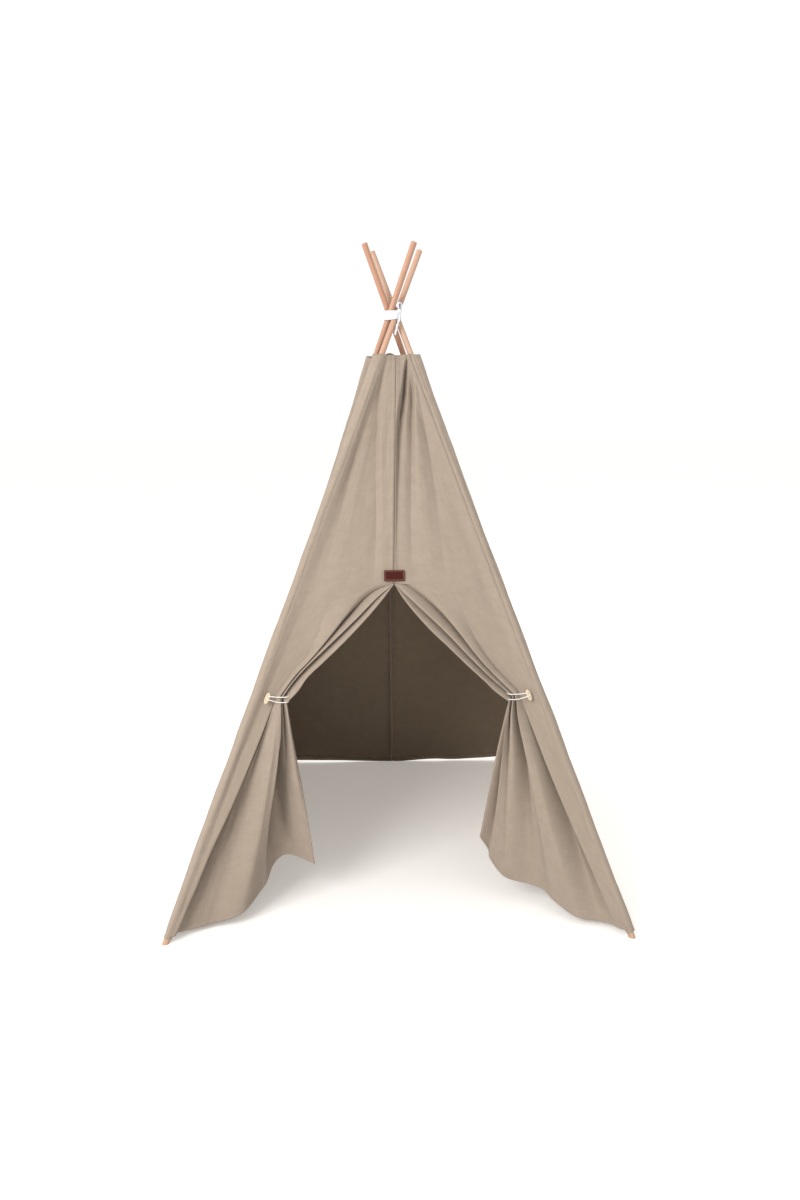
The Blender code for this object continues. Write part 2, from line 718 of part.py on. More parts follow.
def strand_points(side, way):
    """From behind the toggle out at one of its holes, across the bunched flap and round behind it."""
    flap = Flap(side)
    centre, length_axis, across_axis, outward_axis = toggle_frame(side)
    gather = flap.gather_centre()
    inward = (flap.middle(GATHER_HEIGHT) - gather).normalized()
    hole = centre + length_axis * way * TOGGLE_HOLE_SPACING / 2
    face = outward_axis * (TOGGLE_THICKNESS / 2 + CORD_DIAMETER / 2 + FIT_GAP)
    sideways = gather - hole
    sideways = (sideways - outward_axis * sideways.dot(outward_axis)).normalized()
    points = [hole - face - length_axis * way * TOGGLE_HOLE / 2, hole - face * CORD_END_SHARE, hole]
    points.append(hole + face * CORD_EXIT_SHARE)
    points.append(hole + face * CORD_BEND_SHARE + sideways * (TOGGLE_WIDTH + CORD_DIAMETER) / 2)
    level = Vector((0.0, 0.0, way * CORD_STRAND_SPREAD / 2))
    clear = CORD_DIAMETER / 2 + CANVAS_THICKNESS / 2 + CORD_SIDE_GAP
    half_width, half_depth = GATHER_WIDTH / 2 + clear, GATHER_DEPTH / 2 + clear
    for degrees in (-110, -75, -45, -15, 15, 45, 75, 105):
        turn = math.radians(degrees)
        wide = math.copysign(abs(math.cos(turn)) ** CORD_LOOP_SQUARENESS, math.cos(turn))
        deep = math.copysign(abs(math.sin(turn)) ** CORD_LOOP_SQUARENESS, math.sin(turn))
        points.append(gather + level + inward * half_width * wide + Vector((0.0, half_depth * deep, 0.0)))
    return points


def add_tieback_cord(side):
    """One cord: in at a toggle's hole, round the bunched flap and back out at the other hole."""
    upper, lower = strand_points(side, 1), strand_points(side, -1)
    flap = Flap(side)
    gather = flap.gather_centre()
    seam = seam_point(flap.corner, flap.neighbour, GATHER_HEIGHT)
    backward = Vector((0.0, GATHER_DEPTH / 2, 0.0))
    turn_back = gather.lerp(seam, CORD_TURN_BACK_SHARE) + backward
    points = upper + [turn_back] + lower[::-1]
    tube_along("tieback_cord_" + side, smooth_path(points, 2), CORD_DIAMETER / 2, CORD)


def add_label():
    """Bare label that covers the top of the door slit."""
    height = DOOR_APEX + LABEL_LIFT
    middle = Flap("left").middle(height)
    across_axis = (pole_point("front_right", height) - pole_point("front_left", height)).normalized()
    up_axis = (Flap("left").middle(height + LABEL_HEIGHT) - middle).normalized()
    outward_axis = across_axis.cross(up_axis).normalized()
    up_axis = outward_axis.cross(across_axis)
    stand_off = CANVAS_THICKNESS / 2 + FIT_GAP + LABEL_THICKNESS / 2
    builder = bmesh.new()
    bmesh.ops.create_cube(builder, size=1.0)
    bmesh.ops.scale(builder, verts=builder.verts, vec=(LABEL_WIDTH, LABEL_HEIGHT, LABEL_THICKNESS))
    upright = [edge for edge in builder.edges if abs((edge.verts[0].co - edge.verts[1].co).z) > FIT_GAP]
    bmesh.ops.bevel(builder, geom=upright, offset=LABEL_CORNER, segments=3, affect="EDGES")
    label = link_part("door_label", mesh_from(builder, "door_label"), LABEL)
    label.matrix_world = frame_matrix(middle + outward_axis * stand_off, up_axis, across_axis, outward_axis)


def build():
    for corner in CORNERS:
        pivot = add_pivot(corner)
        add_pole(corner, pivot)
        add_couplers(corner, pivot)
        add_sleeve(corner, pivot)
    for side in ("left", "right"):
        add_front_panel(side)
        add_toggle(side)
        add_tieback_cord(side)
    add_side_panel("side_panel_left", "back_left", "front_left")
    add_side_panel("side_panel_right", "front_right", "back_right")
    add_back_panels()
    add_lashing_tape()
    add_knot()
    add_loop()
    add_tail()
    add_label()


build()
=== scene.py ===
"""Looks of the child's play tent: fine cloth, wood, tape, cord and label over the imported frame.

Metres, +Z up. The door faces -Y and +X is to the right of someone who looks at it.
"""
import json
import math

import bmesh
import bpy
from mathutils import Matrix, Vector, noise


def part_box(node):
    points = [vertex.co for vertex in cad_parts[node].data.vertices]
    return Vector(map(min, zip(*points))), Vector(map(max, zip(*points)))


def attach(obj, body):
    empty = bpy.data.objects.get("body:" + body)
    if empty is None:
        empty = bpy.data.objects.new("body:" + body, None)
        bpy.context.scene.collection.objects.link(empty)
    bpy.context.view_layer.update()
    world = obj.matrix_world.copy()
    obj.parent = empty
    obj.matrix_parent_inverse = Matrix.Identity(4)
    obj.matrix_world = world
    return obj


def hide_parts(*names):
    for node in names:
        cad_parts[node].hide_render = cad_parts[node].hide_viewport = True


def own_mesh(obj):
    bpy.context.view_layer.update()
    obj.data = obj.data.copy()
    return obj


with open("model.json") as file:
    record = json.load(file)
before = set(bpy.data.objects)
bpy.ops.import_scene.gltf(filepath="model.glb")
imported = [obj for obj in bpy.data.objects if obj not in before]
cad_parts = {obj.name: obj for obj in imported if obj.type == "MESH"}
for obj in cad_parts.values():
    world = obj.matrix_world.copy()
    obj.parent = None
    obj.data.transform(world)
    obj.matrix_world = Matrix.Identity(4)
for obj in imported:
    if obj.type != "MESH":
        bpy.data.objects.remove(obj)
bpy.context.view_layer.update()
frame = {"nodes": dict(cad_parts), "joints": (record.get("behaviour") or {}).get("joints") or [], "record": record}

# Frame of poles
POLE_DIAMETER = 0.015
POLE_LENGTH = 1.80
POLE_SECTIONS = 3
SECTION_GAP = 0.0003
CROSSING_HEIGHT = 1.427

# Cover
CANVAS_THICKNESS = 0.001
CANVAS_TOP = 1.325
HEM_HEIGHT = 0.014
HEM_WIDTH = 0.012
SLEEVE_RADIUS = 0.0101
SLEEVE_FOOT_REVEAL = 0.012
SEAM_REACH = 0.0085
WALL_SAG = 0.014
WALL_SAG_PEAK_SHARE = 0.8
TOP_FOLD_DEPTH = 0.007
TOP_FOLD_LENGTH = 0.425

# Door slit, from the frame's model
SEAM_PLACE_SHARE = 0.482
DOOR_APEX = 0.777
GATHER_HEIGHT = 0.520
GATHER_INSET = 0.056

# Seams and hems
HEM_LIFT = 0.0008
STITCH_GROOVE = 0.0005
STITCH_INSET = 0.0046
STITCH_LENGTH = 0.0026
STITCH_PITCH = 0.0038
STITCH_RADIUS = 0.00032
STITCH_DIP_REACH = 0.0008
EDGE_LAP = 0.0078
EDGE_LAP_FADE = 0.001
SEAM_GROOVE = 0.0030
SEAM_GROOVE_REACH = 0.0019

# Distance from a sleeve over which folds and ripples die out
CALM_REACH = 0.02

# Tape round the crossing
TAPE_WIDTH = 0.028
TAPE_THICKNESS = 0.0007
TAPE_TURNS = 3.2
TAPE_TURN_STEP = 0.0005
KNOT_BEARING = math.radians(-52.0)
LOOP_RISE = 0.013
LOOP_SPAN = 0.013
LOOP_END = math.radians(-60.0)
TAIL_LENGTH = 0.050
TAIL_DRIFT = (-0.0113, -0.0046)
TAIL_WIDTH = 0.0072
TAIL_TURNS = 1.75

# Toggles, cords and label
TOGGLE_LENGTH = 0.028
TOGGLE_WIDTH = 0.011
TOGGLE_THICKNESS = 0.005
TOGGLE_HOLE = 0.0042
TOGGLE_HOLE_SPACING = 0.0105
TOGGLE_INSET = 0.029
TOGGLE_STAND_OFF = 0.0085
CORD_DIAMETER = 0.0022
CORD_SIDE_GAP = 0.0009
CORD_STRAND_SPREAD = 0.013
CORD_TURN_BACK_SHARE = 0.55
CORD_TWIST_PITCH = 0.0060
GATHER_WIDTH = 0.024
GATHER_DEPTH = 0.018
FIT_GAP = 0.0003
LABEL_WIDTH = 0.050
LABEL_HEIGHT = 0.027
LABEL_THICKNESS = 0.0012
LABEL_LIFT = 0.018
LABEL_CORNER = 0.0015

# Threads
THREAD_PITCH = 0.0009

CORNERS = {
    "front_left": (-1, -1),
    "front_right": (1, -1),
    "back_right": (1, 1),
    "back_left": (-1, 1),
}

PIVOTS = {j["name"][5:]: Vector(j["pos_m"]) for j in frame["joints"] if j["name"][5:] in CORNERS}
FEET = {m["name"][5:]: Vector(m["pos_m"]) for m in frame["record"]["mounts"] if m["name"][5:] in CORNERS}


def smooth_step(value):
    """0 to 1 with level ends."""
    value = min(max(value, 0.0), 1.0)
    return value * value * (3.0 - 2.0 * value)


def hermite(part):
    """Weights of the start, its slope, the end and its slope at a part of a smooth stretch."""
    return (2 * part ** 3 - 3 * part ** 2 + 1, part ** 3 - 2 * part ** 2 + part,
            3 * part ** 2 - 2 * part ** 3, part ** 3 - part ** 2)


def smooth_curve(rows, place):
    """Value of each column of rows at a place along the first column, as a smooth curve through them."""
    last = len(rows) - 1
    place = min(max(place, rows[0][0]), rows[last][0])
    index = max(i for i in range(last) if rows[i][0] <= place or i == 0)
    before, start = rows[max(index - 1, 0)], rows[index]
    end, after = rows[index + 1], rows[min(index + 2, last)]
    span = end[0] - start[0]
    h00, h10, h01, h11 = hermite((place - start[0]) / span)
    values = []
    for column in range(1, len(start)):
        slope_in = (end[column] - before[column]) / (end[0] - before[0])
        slope_out = (after[column] - start[column]) / (after[0] - start[0])
        values.append(h00 * start[column] + h01 * end[column] + span * (h10 * slope_in + h11 * slope_out))
    return values if len(values) > 1 else values[0]


def fold_depth(table, place, sharpness=1.0):
    """Depth at a place across folds, whose ridges are round and whose creases are sharp."""
    place = min(max(place, table[0][0]), table[-1][0])
    index = max(i for i in range(len(table) - 1) if table[i][0] <= place or i == 0)
    (start, low), (end, high) = table[index], table[index + 1]
    part = (place - start) / (end - start)
    turn = math.pi / 2 * part
    cusp = math.sin(turn) if low < high else 1.0 - math.cos(turn)
    eased = cusp * sharpness + smooth_step(part) * (1.0 - sharpness)
    return low + (high - low) * eased


def pole_point(corner, height):
    return FEET[corner].lerp(PIVOTS[corner], height / CROSSING_HEIGHT)


def pole_direction(corner):
    return (PIVOTS[corner] - FEET[corner]).normalized()


def seam_point(corner, neighbour, height, reach=SEAM_REACH):
    """Where the cloth towards a neighbouring pole leaves this pole's sleeve, at a height."""
    here = pole_point(corner, height)
    return here + (pole_point(neighbour, height) - here).normalized() * reach


def outward(corner, neighbour):
    """Outward normal of the wall between two poles."""
    along = FEET[neighbour] - FEET[corner]
    normal = along.cross(PIVOTS[corner] - FEET[corner]).normalized()
    middle = (FEET[neighbour] + FEET[corner]) / 2
    return normal if normal.dot(middle) > 0.0 else -normal


# Materials


def new_material(name):
    material = bpy.data.materials.new(name)
    material.use_nodes = True
    tree = material.node_tree
    return material, tree, tree.nodes["Principled BSDF"]


def add_node(tree, kind, **values):
    node = tree.nodes.new(kind)
    for key, value in values.items():
        if hasattr(node, key):
            setattr(node, key, value)
        else:
            node.inputs[key].default_value = value
    return node


def math_node(tree, operation, *values):
    node = tree.nodes.new("ShaderNodeMath")
    node.operation = operation
    for socket, value in zip(node.inputs, values):
        if isinstance(value, (int, float)):
            socket.default_value = value
        else:
            tree.links.new(value, socket)
    return node.outputs[0]


def colour_ramp(tree, factor, stops):
    ramp = tree.nodes.new("ShaderNodeValToRGB")
    elements = ramp.color_ramp.elements
    while len(elements) < len(stops):
        elements.new(0.5)
    for element, (place, colour) in zip(elements, stops):
        element.position = place
        element.color = (*linear(colour), 1.0)
    tree.links.new(factor, ramp.inputs[0])
    return ramp.outputs[0]


def linear(colour):
    """Linear colour from one written as 0 to 255."""
    values = [c / 255.0 for c in colour]
    return tuple(v / 12.92 if v <= 0.04045 else ((v + 0.055) / 1.055) ** 2.4 for v in values)


def noise_node(tree, coordinates, scale, detail=2.0, roughness=0.5):
    node = tree.nodes.new("ShaderNodeTexNoise")
    node.inputs["Scale"].default_value = scale
    node.inputs["Detail"].default_value = detail
    node.inputs["Roughness"].default_value = roughness
    tree.links.new(coordinates, node.inputs["Vector"])
    return node.outputs["Fac"]


def scaled(tree, coordinates, scale):
    node = tree.nodes.new("ShaderNodeVectorMath")
    node.operation = "MULTIPLY"
    node.inputs[1].default_value = scale
    tree.links.new(coordinates, node.inputs[0])
    return node.outputs[0]


def mix_colour(tree, factor, first, second, blend="MIX"):
    node = tree.nodes.new("ShaderNodeMix")
    node.data_type = "RGBA"
    node.blend_type = blend
    pairs = ((node.inputs[0], factor), (node.inputs[6], first), (node.inputs[7], second))
    for socket, value in pairs:
        if isinstance(value, (int, float)):
            socket.default_value = value
        elif isinstance(value, tuple):
            socket.default_value = (*linear(value), 1.0)
        else:
            tree.links.new(value, socket)
    return node.outputs[2]


def set_surface(shader, **values):
    """Plain values of the shader's inputs, with spaces in their names written as underscores."""
    for key, value in values.items():
        shader.inputs[key.replace("_", " ")].default_value = value


def weighted(tree, first, first_weight, second, second_weight):
    """Sum of two values, each times its weight."""
    return math_node(tree, "ADD", math_node(tree, "MULTIPLY", first, first_weight),
                     math_node(tree, "MULTIPLY", second, second_weight))


def add_bump(tree, shader, height, distance):
    bump = tree.nodes.new("ShaderNodeBump")
    bump.inputs["Distance"].default_value = distance
    bump.inputs["Strength"].default_value = 1.0
    tree.links.new(height, bump.inputs["Height"])
    tree.links.new(bump.outputs[0], shader.inputs["Normal"])


def weave_height(tree, pitch):
    """Height of a plain weave, 0 to 1, from the UV map that holds metres along both threads."""
    uv = add_node(tree, "ShaderNodeUVMap", uv_map="weave").outputs[0]
    split = tree.nodes.new("ShaderNodeSeparateXYZ")
    tree.links.new(uv, split.inputs[0])
    turns = [math_node(tree, "MULTIPLY", split.outputs[axis], math.pi / pitch) for axis in (0, 1)]
    waves = [math_node(tree, "SINE", turn) for turn in turns]
    ridges = [math_node(tree, "ABSOLUTE", wave) for wave in waves]
    over = math_node(tree, "MULTIPLY", waves[0], waves[1])
    over = math_node(tree, "GREATER_THAN", over, 0.0)
    difference = math_node(tree, "SUBTRACT", ridges[0], ridges[1])
    return uv, math_node(tree, "MULTIPLY_ADD", over, difference, ridges[1])


def canvas_material(name, light, dark, pitch=THREAD_PITCH, depth=0.00016):
    """Plain woven cotton: threads in relief, slubs along both thread ways and a soft mottle, with painted shade in
    the grooves between the threads and the thread crowns painted a little lighter.
    """
    material, tree, shader = new_material(name)
    uv, height = weave_height(tree, pitch)
    warp = noise_node(tree, scaled(tree, uv, (900.0, 22.0, 1.0)), 1.0)
    weft = noise_node(tree, scaled(tree, uv, (22.0, 900.0, 1.0)), 1.0)
    slub = math_node(tree, "ADD", warp, weft)
    mottle = noise_node(tree, uv, 34.0, 4.0, 0.6)
    tone = weighted(tree, slub, 0.36, mottle, 0.3)
    colour = colour_ramp(tree, tone, ((0.28, dark), (0.72, light)))
    # Painted shade: the colour is darkened in the weave's grooves and lightened a little on the thread crowns,
    # following the weave's height.
    groove_shade = math_node(tree, "MULTIPLY_ADD", height, 0.22, 0.84)
    thread = tree.nodes.new("ShaderNodeCombineXYZ")
    for socket in thread.inputs:
        tree.links.new(groove_shade, socket)
    colour = mix_colour(tree, 1.0, colour, thread.outputs[0], "MULTIPLY")
    tree.links.new(colour, shader.inputs["Base Color"])
    set_surface(shader, Roughness=0.92, Specular_IOR_Level=0.25, Sheen_Weight=0.12, Sheen_Roughness=0.5)
    bumps = math_node(tree, "ADD", height, math_node(tree, "MULTIPLY", slub, 0.7))
    add_bump(tree, shader, bumps, depth)
    return material


def wood_material(name, light, dark, rings=420.0):
    """Turned wood: streaks along the grain, darker late wood, short pores, satin surface."""
    material, tree, shader = new_material(name)
    grain = add_node(tree, "ShaderNodeAttribute", attribute_name="grain").outputs["Vector"]
    streak = noise_node(tree, scaled(tree, grain, (rings, rings, 9.0)), 1.0, 3.0, 0.6)
    band = noise_node(tree, scaled(tree, grain, (90.0, 90.0, 2.2)), 1.0, 2.0, 0.5)
    tone = weighted(tree, streak, 0.55, band, 0.45)
    colour = colour_ramp(tree, tone, ((0.26, dark), (0.66, light)))
    pores = noise_node(tree, scaled(tree, grain, (2600.0, 2600.0, 120.0)), 1.0, 1.0)
    mask = math_node(tree, "GREATER_THAN", pores, 0.66)
    colour = mix_colour(tree, math_node(tree, "MULTIPLY", mask, 0.12), colour, tuple(c * 0.72 for c in dark))
    tree.links.new(colour, shader.inputs["Base Color"])
    tree.links.new(math_node(tree, "MULTIPLY_ADD", streak, 0.18, 0.42), shader.inputs["Roughness"])
    set_surface(shader, Specular_IOR_Level=0.35)
    pitted = math_node(tree, "SUBTRACT", streak, math_node(tree, "MULTIPLY", mask, 0.6))
    add_bump(tree, shader, pitted, 0.00007)
    return material


def steel_material():
    """Zinc-plated tube with fine lines drawn along it."""
    material, tree, shader = new_material("coupler_steel")
    place = add_node(tree, "ShaderNodeTexCoord").outputs["Object"]
    lines = noise_node(tree, scaled(tree, place, (900.0, 900.0, 60.0)), 1.0, 3.0)
    colour = colour_ramp(tree, lines, ((0.3, (150, 150, 148)), (0.7, (196, 196, 192))))
    tree.links.new(colour, shader.inputs["Base Color"])
    set_surface(shader, Metallic=1.0)
    sheen = colour_ramp(tree, lines, ((0.0, (110, 110, 110)), (1.0, (170, 170, 170))))
    tree.links.new(sheen, shader.inputs["Roughness"])
    add_bump(tree, shader, lines, 0.00005)
    return material


def cotton_material(name, light, dark, scale):
    """White cotton twill: fine diagonal ribs in its own metres."""
    material, tree, shader = new_material(name)
    place = add_node(tree, "ShaderNodeUVMap", uv_map="weave").outputs[0]
    split = tree.nodes.new("ShaderNodeSeparateXYZ")
    tree.links.new(place, split.inputs[0])
    diagonal = math_node(tree, "ADD", split.outputs[0], split.outputs[1])
    rib = math_node(tree, "SINE", math_node(tree, "MULTIPLY", diagonal, scale))
    fuzz = noise_node(tree, place, 900.0, 3.0, 0.7)
    tone = math_node(tree, "MULTIPLY_ADD", rib, 0.12, fuzz)
    tree.links.new(colour_ramp(tree, tone, ((0.25, dark), (0.7, light))), shader.inputs["Base Color"])
    set_surface(shader, Roughness=0.85, Sheen_Weight=0.2)
    add_bump(tree, shader, tone, 0.00012)
    return material


def label_material(name, light, dark):
    """Imitation leather: fine pebbled grain, worn a little lighter on its high spots."""
    material, tree, shader = new_material(name)
    place = add_node(tree, "ShaderNodeTexCoord").outputs["Object"]
    cells = tree.nodes.new("ShaderNodeTexVoronoi")
    cells.inputs["Scale"].default_value = 1300.0
    tree.links.new(place, cells.inputs["Vector"])
    wear = noise_node(tree, place, 160.0, 4.0, 0.6)
    tone = weighted(tree, cells.outputs["Distance"], 0.4, wear, 0.7)
    tree.links.new(colour_ramp(tree, tone, ((0.3, dark), (0.8, light))), shader.inputs["Base Color"])
    set_surface(shader, Roughness=0.6, Specular_IOR_Level=0.12)
    add_bump(tree, shader, cells.outputs["Distance"], 0.00012)
    return material


CANVAS = canvas_material("canvas_natural", (167, 152, 137), (145, 130, 115))
SLEEVE_CANVAS = canvas_material("canvas_sleeve", (169, 154, 139), (148, 133, 118))
# The back wall's canvas is a warmer, slightly darker copy of the canvas: painted warm shade for its inside, which
# is seen in shadow through the door.
BACK_CANVAS_PAINTED_SHADE = canvas_material("canvas_back_painted_shade", (165, 147, 127), (143, 125, 106))
SEAM_CLOTH = canvas_material("canvas_seam_strip", (186, 171, 155), (165, 149, 134))
STITCH_THREAD = cotton_material("stitch_thread", (172, 158, 143), (146, 130, 114), 5200.0)
# One wood per pole. The back poles' darker, more orange tones are partly each pole's own wood tone and partly
# painted shade; the back right pole is the darkest.
WOODS = {
    "back_left": wood_material("wood_back_left", (195, 153, 129), (172, 130, 105)),
    "back_right": wood_material("wood_back_right", (192, 147, 122), (168, 123, 98)),
    "front_left": wood_material("wood_front_left", (196, 160, 137), (176, 137, 113)),
    "front_right": wood_material("wood_front_right", (190, 160, 138), (168, 134, 111)),
}
STEEL = steel_material()
TAPE = cotton_material("tape_cotton", (228, 229, 235), (196, 198, 210), 5200.0)
CORD = cotton_material("cord_cotton", (246, 244, 240), (214, 210, 204), 4200.0)
TOGGLE_WOOD = wood_material("toggle_wood", (222, 206, 180), (196, 172, 138), 900.0)
LABEL = label_material("label_leather", (74, 26, 20), (54, 17, 13))
LABEL_EDGE = label_material("label_edge", (150, 112, 92), (112, 78, 62))
LABEL_THREAD = cotton_material("label_thread", (132, 78, 62), (96, 50, 40), 6000.0)


# Meshes


def make_object(name, mesh, material):
    thing = bpy.data.objects.new(name, mesh)
    bpy.context.scene.collection.objects.link(thing)
    mesh.materials.append(material)
    return thing


def mesh_of(name, builder, angle=50.0):
    mesh = bpy.data.meshes.new(name)
    bmesh.ops.recalc_face_normals(builder, faces=builder.faces)
    builder.to_mesh(mesh)
    builder.free()
    mesh.shade_smooth()
    if angle < 180.0:
        mesh.set_sharp_from_angle(angle=math.radians(angle))
    return mesh


def arc_lengths(points):
    """Metres along a line at each of its points."""
    lengths = [0.0]
    for before, after in zip(points, points[1:]):
        lengths.append(lengths[-1] + (after - before).length)
    return lengths


def ring_places(sides):
    return [2.0 * math.pi * side / sides for side in range(sides)]


def squared(value, power):
    """Sine or cosine of a turn, bent so that a ring is fuller at its corners where the power is under 1."""
    return math.copysign(abs(value) ** power, value)


def turned_ring(builder, reach, rise, sides, shift=0.0):
    """Round ring of vertices at a height, moved along Y by shift."""
    return [builder.verts.new((reach * math.cos(turn), shift + reach * math.sin(turn), rise))
            for turn in ring_places(sides)]


def join_rings(builder, rings, flip=False):
    """Faces between closed rings and over both ends. Returns the faces of each band between two rings."""
    bands = []
    for near, far in zip(rings, rings[1:]):
        band = []
        for side in range(len(near)):
            after = (side + 1) % len(near)
            corners = (near[side], near[after], far[after], far[side])
            if flip:
                corners = (near[side], far[side], far[after], near[after])
            band.append(builder.faces.new(corners))
        bands.append(band)
    first, last = (rings[0], rings[-1][::-1]) if flip else (rings[0][::-1], rings[-1])
    builder.faces.new(first)
    builder.faces.new(last)
    return bands


def set_grain(mesh, place_of):
    """Wood grain's place for each vertex, with its own Z along the grain."""
    grain = mesh.attributes.new("grain", "FLOAT_VECTOR", "POINT")
    for vertex, item in zip(mesh.vertices, grain.data):
        item.vector = place_of(vertex.co)


def cloth_from_grids(name, grids, material, thickness=CANVAS_THICKNESS):
    """One sheet from grids of points whose shared edges are welded, with metres along its threads as UVs.

    Each grid is (rows, places), where places gives each point's metres across and down the cloth."""
    builder = bmesh.new()
    layer = builder.loops.layers.uv.new("weave")
    for rows, places in grids:
        verts = [[builder.verts.new(point) for point in row] for row in rows]
        for upper in range(len(rows) - 1):
            for index in range(len(rows[0]) - 1):
                corners = ((upper, index), (upper + 1, index), (upper + 1, index + 1), (upper, index + 1))
                face = builder.faces.new([verts[r][c] for r, c in corners])
                for loop, (r, c) in zip(face.loops, corners):
                    loop[layer].uv = places[r][c]
    bmesh.ops.remove_doubles(builder, verts=builder.verts, dist=0.00002)
    bmesh.ops.dissolve_degenerate(builder, edges=builder.edges, dist=0.00001)
    thing = make_object(name, mesh_of(name, builder, 180.0), material)
    shell = thing.modifiers.new("thickness", "SOLIDIFY")
    shell.thickness = thickness
    shell.offset = 0.0
    return thing


def apply_modifiers(thing):
    """Makes the shape that the modifiers give the object's own mesh."""
    bpy.context.view_layer.update()
    graph = bpy.context.evaluated_depsgraph_get()
    mesh = bpy.data.meshes.new_from_object(thing.evaluated_get(graph))
    thing.modifiers.clear()
    thing.data = mesh


def flat_places(rows, offset=0.0):
    """Metres across and down for each point of a grid of rows."""
    places = []
    down = 0.0
    for index, row in enumerate(rows):
        if index:
            steps = [(a - b).length for a, b in zip(row, rows[index - 1])]
            down += sum(steps) / len(steps)
        places.append([(offset + along, down) for along in arc_lengths(row)])
    return places


def tube_mesh(name, centres, section, sides, material, up=(0.0, 0.0, 1.0)):
    """Closed tube along centres. section(part, turn) gives a ring point's distances to the side and up."""
    builder = bmesh.new()
    layer = builder.loops.layers.uv.new("weave")
    lengths = arc_lengths(centres)
    rings = []
    up = Vector(up)
    for index, centre in enumerate(centres):
        ahead = centres[min(index + 1, len(centres) - 1)] - centres[max(index - 1, 0)]
        side = ahead.cross(up).normalized()
        up = side.cross(ahead).normalized()
        places = [section(lengths[index] / lengths[-1], turn) for turn in ring_places(sides)]
        rings.append([builder.verts.new(centre + side * aside + up * above) for aside, above in places])
    around = math.pi * CORD_DIAMETER / sides
    for index, band in enumerate(join_rings(builder, rings)):
        for step, face in enumerate(band):
            corners = ((step, index), (step + 1, index), (step + 1, index + 1), (step, index + 1))
            for loop, (column, row) in zip(face.loops, corners):
                loop[layer].uv = (column * around, lengths[row])
    return make_object(name, mesh_of(name, builder), material)


def column_places(anchors, counts):
    """Columns as (share, metres) pairs, which lie at a share of a row's width plus metres along it."""
    columns = []
    for index, (share, offsets) in enumerate(anchors):
        columns += [(share, offset) for offset in offsets]
        if index < len(counts):
            after, first = anchors[index + 1][0], anchors[index + 1][1][0]
            for step in range(1, counts[index]):
                part = step / counts[index]
                columns.append((share + (after - share) * part, offsets[-1] * (1.0 - part) + first * part))
    return columns


SHOULDER_RISE = 0.0068
SHOULDER_INSET = 0.0026
SHOULDER_REACH = 0.030


def shoulder(reach, normal, toward_pole):
    """Shift of the cloth near a sleeve, which it leaves at the sleeve's front and not at its side."""
    shift = normal * SHOULDER_RISE + toward_pole * SHOULDER_INSET
    return shift * (1.0 - smooth_step(reach / SHOULDER_REACH))


def dip(distance, reach):
    """1 at a distance of zero, falling smoothly to 0 at reach."""
    return smooth_step(1.0 - abs(distance) / reach)


# Seam allowance inside the back: metres beside the seam and metres in from the wall
SEAM_STRIP = ((-0.0035, 0.0016), (0.0005, 0.0024), (0.0045, 0.0040), (0.0085, 0.0062), (0.0120, 0.0080))
EDGE_OFFSETS = (0.0, 0.0025, 0.0036, 0.0041, 0.0046, 0.0051, 0.0056, 0.0075, 0.011)
SEAM_OFFSETS = (0.0, 0.0008, 0.0018, 0.0030, 0.0041, 0.0046, 0.0051, 0.0070, 0.0080, 0.012)
HEM_RISES = (0.0165, 0.0134, 0.0126, 0.0118, 0.0106, 0.0100, 0.0094, 0.0060, 0.0025, 0.0)
HEM_STITCH_RISE = 0.0100


def hem_relief(rise):
    """Double thickness of a hem, with its line of stitches sunk in."""
    lift = HEM_LIFT * smooth_step((HEM_WIDTH + 0.0004 - rise) / 0.0009)
    return lift - STITCH_GROOVE * dip(rise - HEM_STITCH_RISE, STITCH_DIP_REACH)


def edge_relief(reach):
    """Double thickness along a stitched edge, with its line of stitches sunk in."""
    lift = HEM_LIFT * smooth_step((EDGE_LAP - reach) / EDGE_LAP_FADE)
    return lift - STITCH_GROOVE * dip(reach - STITCH_INSET, STITCH_DIP_REACH)


def seam_relief(reach):
    """Two stitched layers beside a seam, with the seam's own groove at reach zero."""
    return edge_relief(reach) - SEAM_GROOVE * dip(reach, SEAM_GROOVE_REACH)


# Rings of a stitch: place along it, thickness and height, as shares of its length and radius
STITCH_RINGS = ((-0.5, 0.3, -0.5), (-0.3, 1.0, 0.3), (0.3, 1.0, 0.3), (0.5, 0.3, -0.5))
STITCH_SIDES = 5


def add_stitches(name, lines, body):
    """Stitches along lines of (point, normal) pairs, as short lengths of thread that dip in at their ends."""
    builder = bmesh.new()
    builder.loops.layers.uv.new("weave")
    for line in lines:
        lengths = arc_lengths([point for point, _ in line])
        count = int(lengths[-1] / STITCH_PITCH)
        index = 0
        for stitch in range(count):
            middle = (stitch + 0.5) * STITCH_PITCH
            while index < len(lengths) - 2 and lengths[index + 1] < middle:
                index += 1
            share = (middle - lengths[index]) / max(lengths[index + 1] - lengths[index], 1e-9)
            point = line[index][0].lerp(line[index + 1][0], share)
            ahead = (line[index + 1][0] - line[index][0]).normalized()
            normal = line[index][1]
            aside = ahead.cross(normal).normalized()
            up = aside.cross(ahead)
            rings = []
            for along, size, lift in STITCH_RINGS:
                centre = point + ahead * along * STITCH_LENGTH + up * lift * STITCH_RADIUS
                reach = STITCH_RADIUS * size
                rings.append([builder.verts.new(centre + (aside * math.cos(a) + up * math.sin(a)) * reach)
                              for a in ring_places(STITCH_SIDES)])
            join_rings(builder, rings)
    stitches = make_object(name, mesh_of(name, builder, 180.0), STITCH_THREAD)
    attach(stitches, body)
    return stitches


def raised(rows, index_pairs, normal, lift=STITCH_RADIUS * 0.8 + CANVAS_THICKNESS / 2):
    """Line of (point, normal) pairs through grid places, lifted off the cloth's middle."""
    return [(rows[r][c] + normal * lift, normal) for r, c in index_pairs]


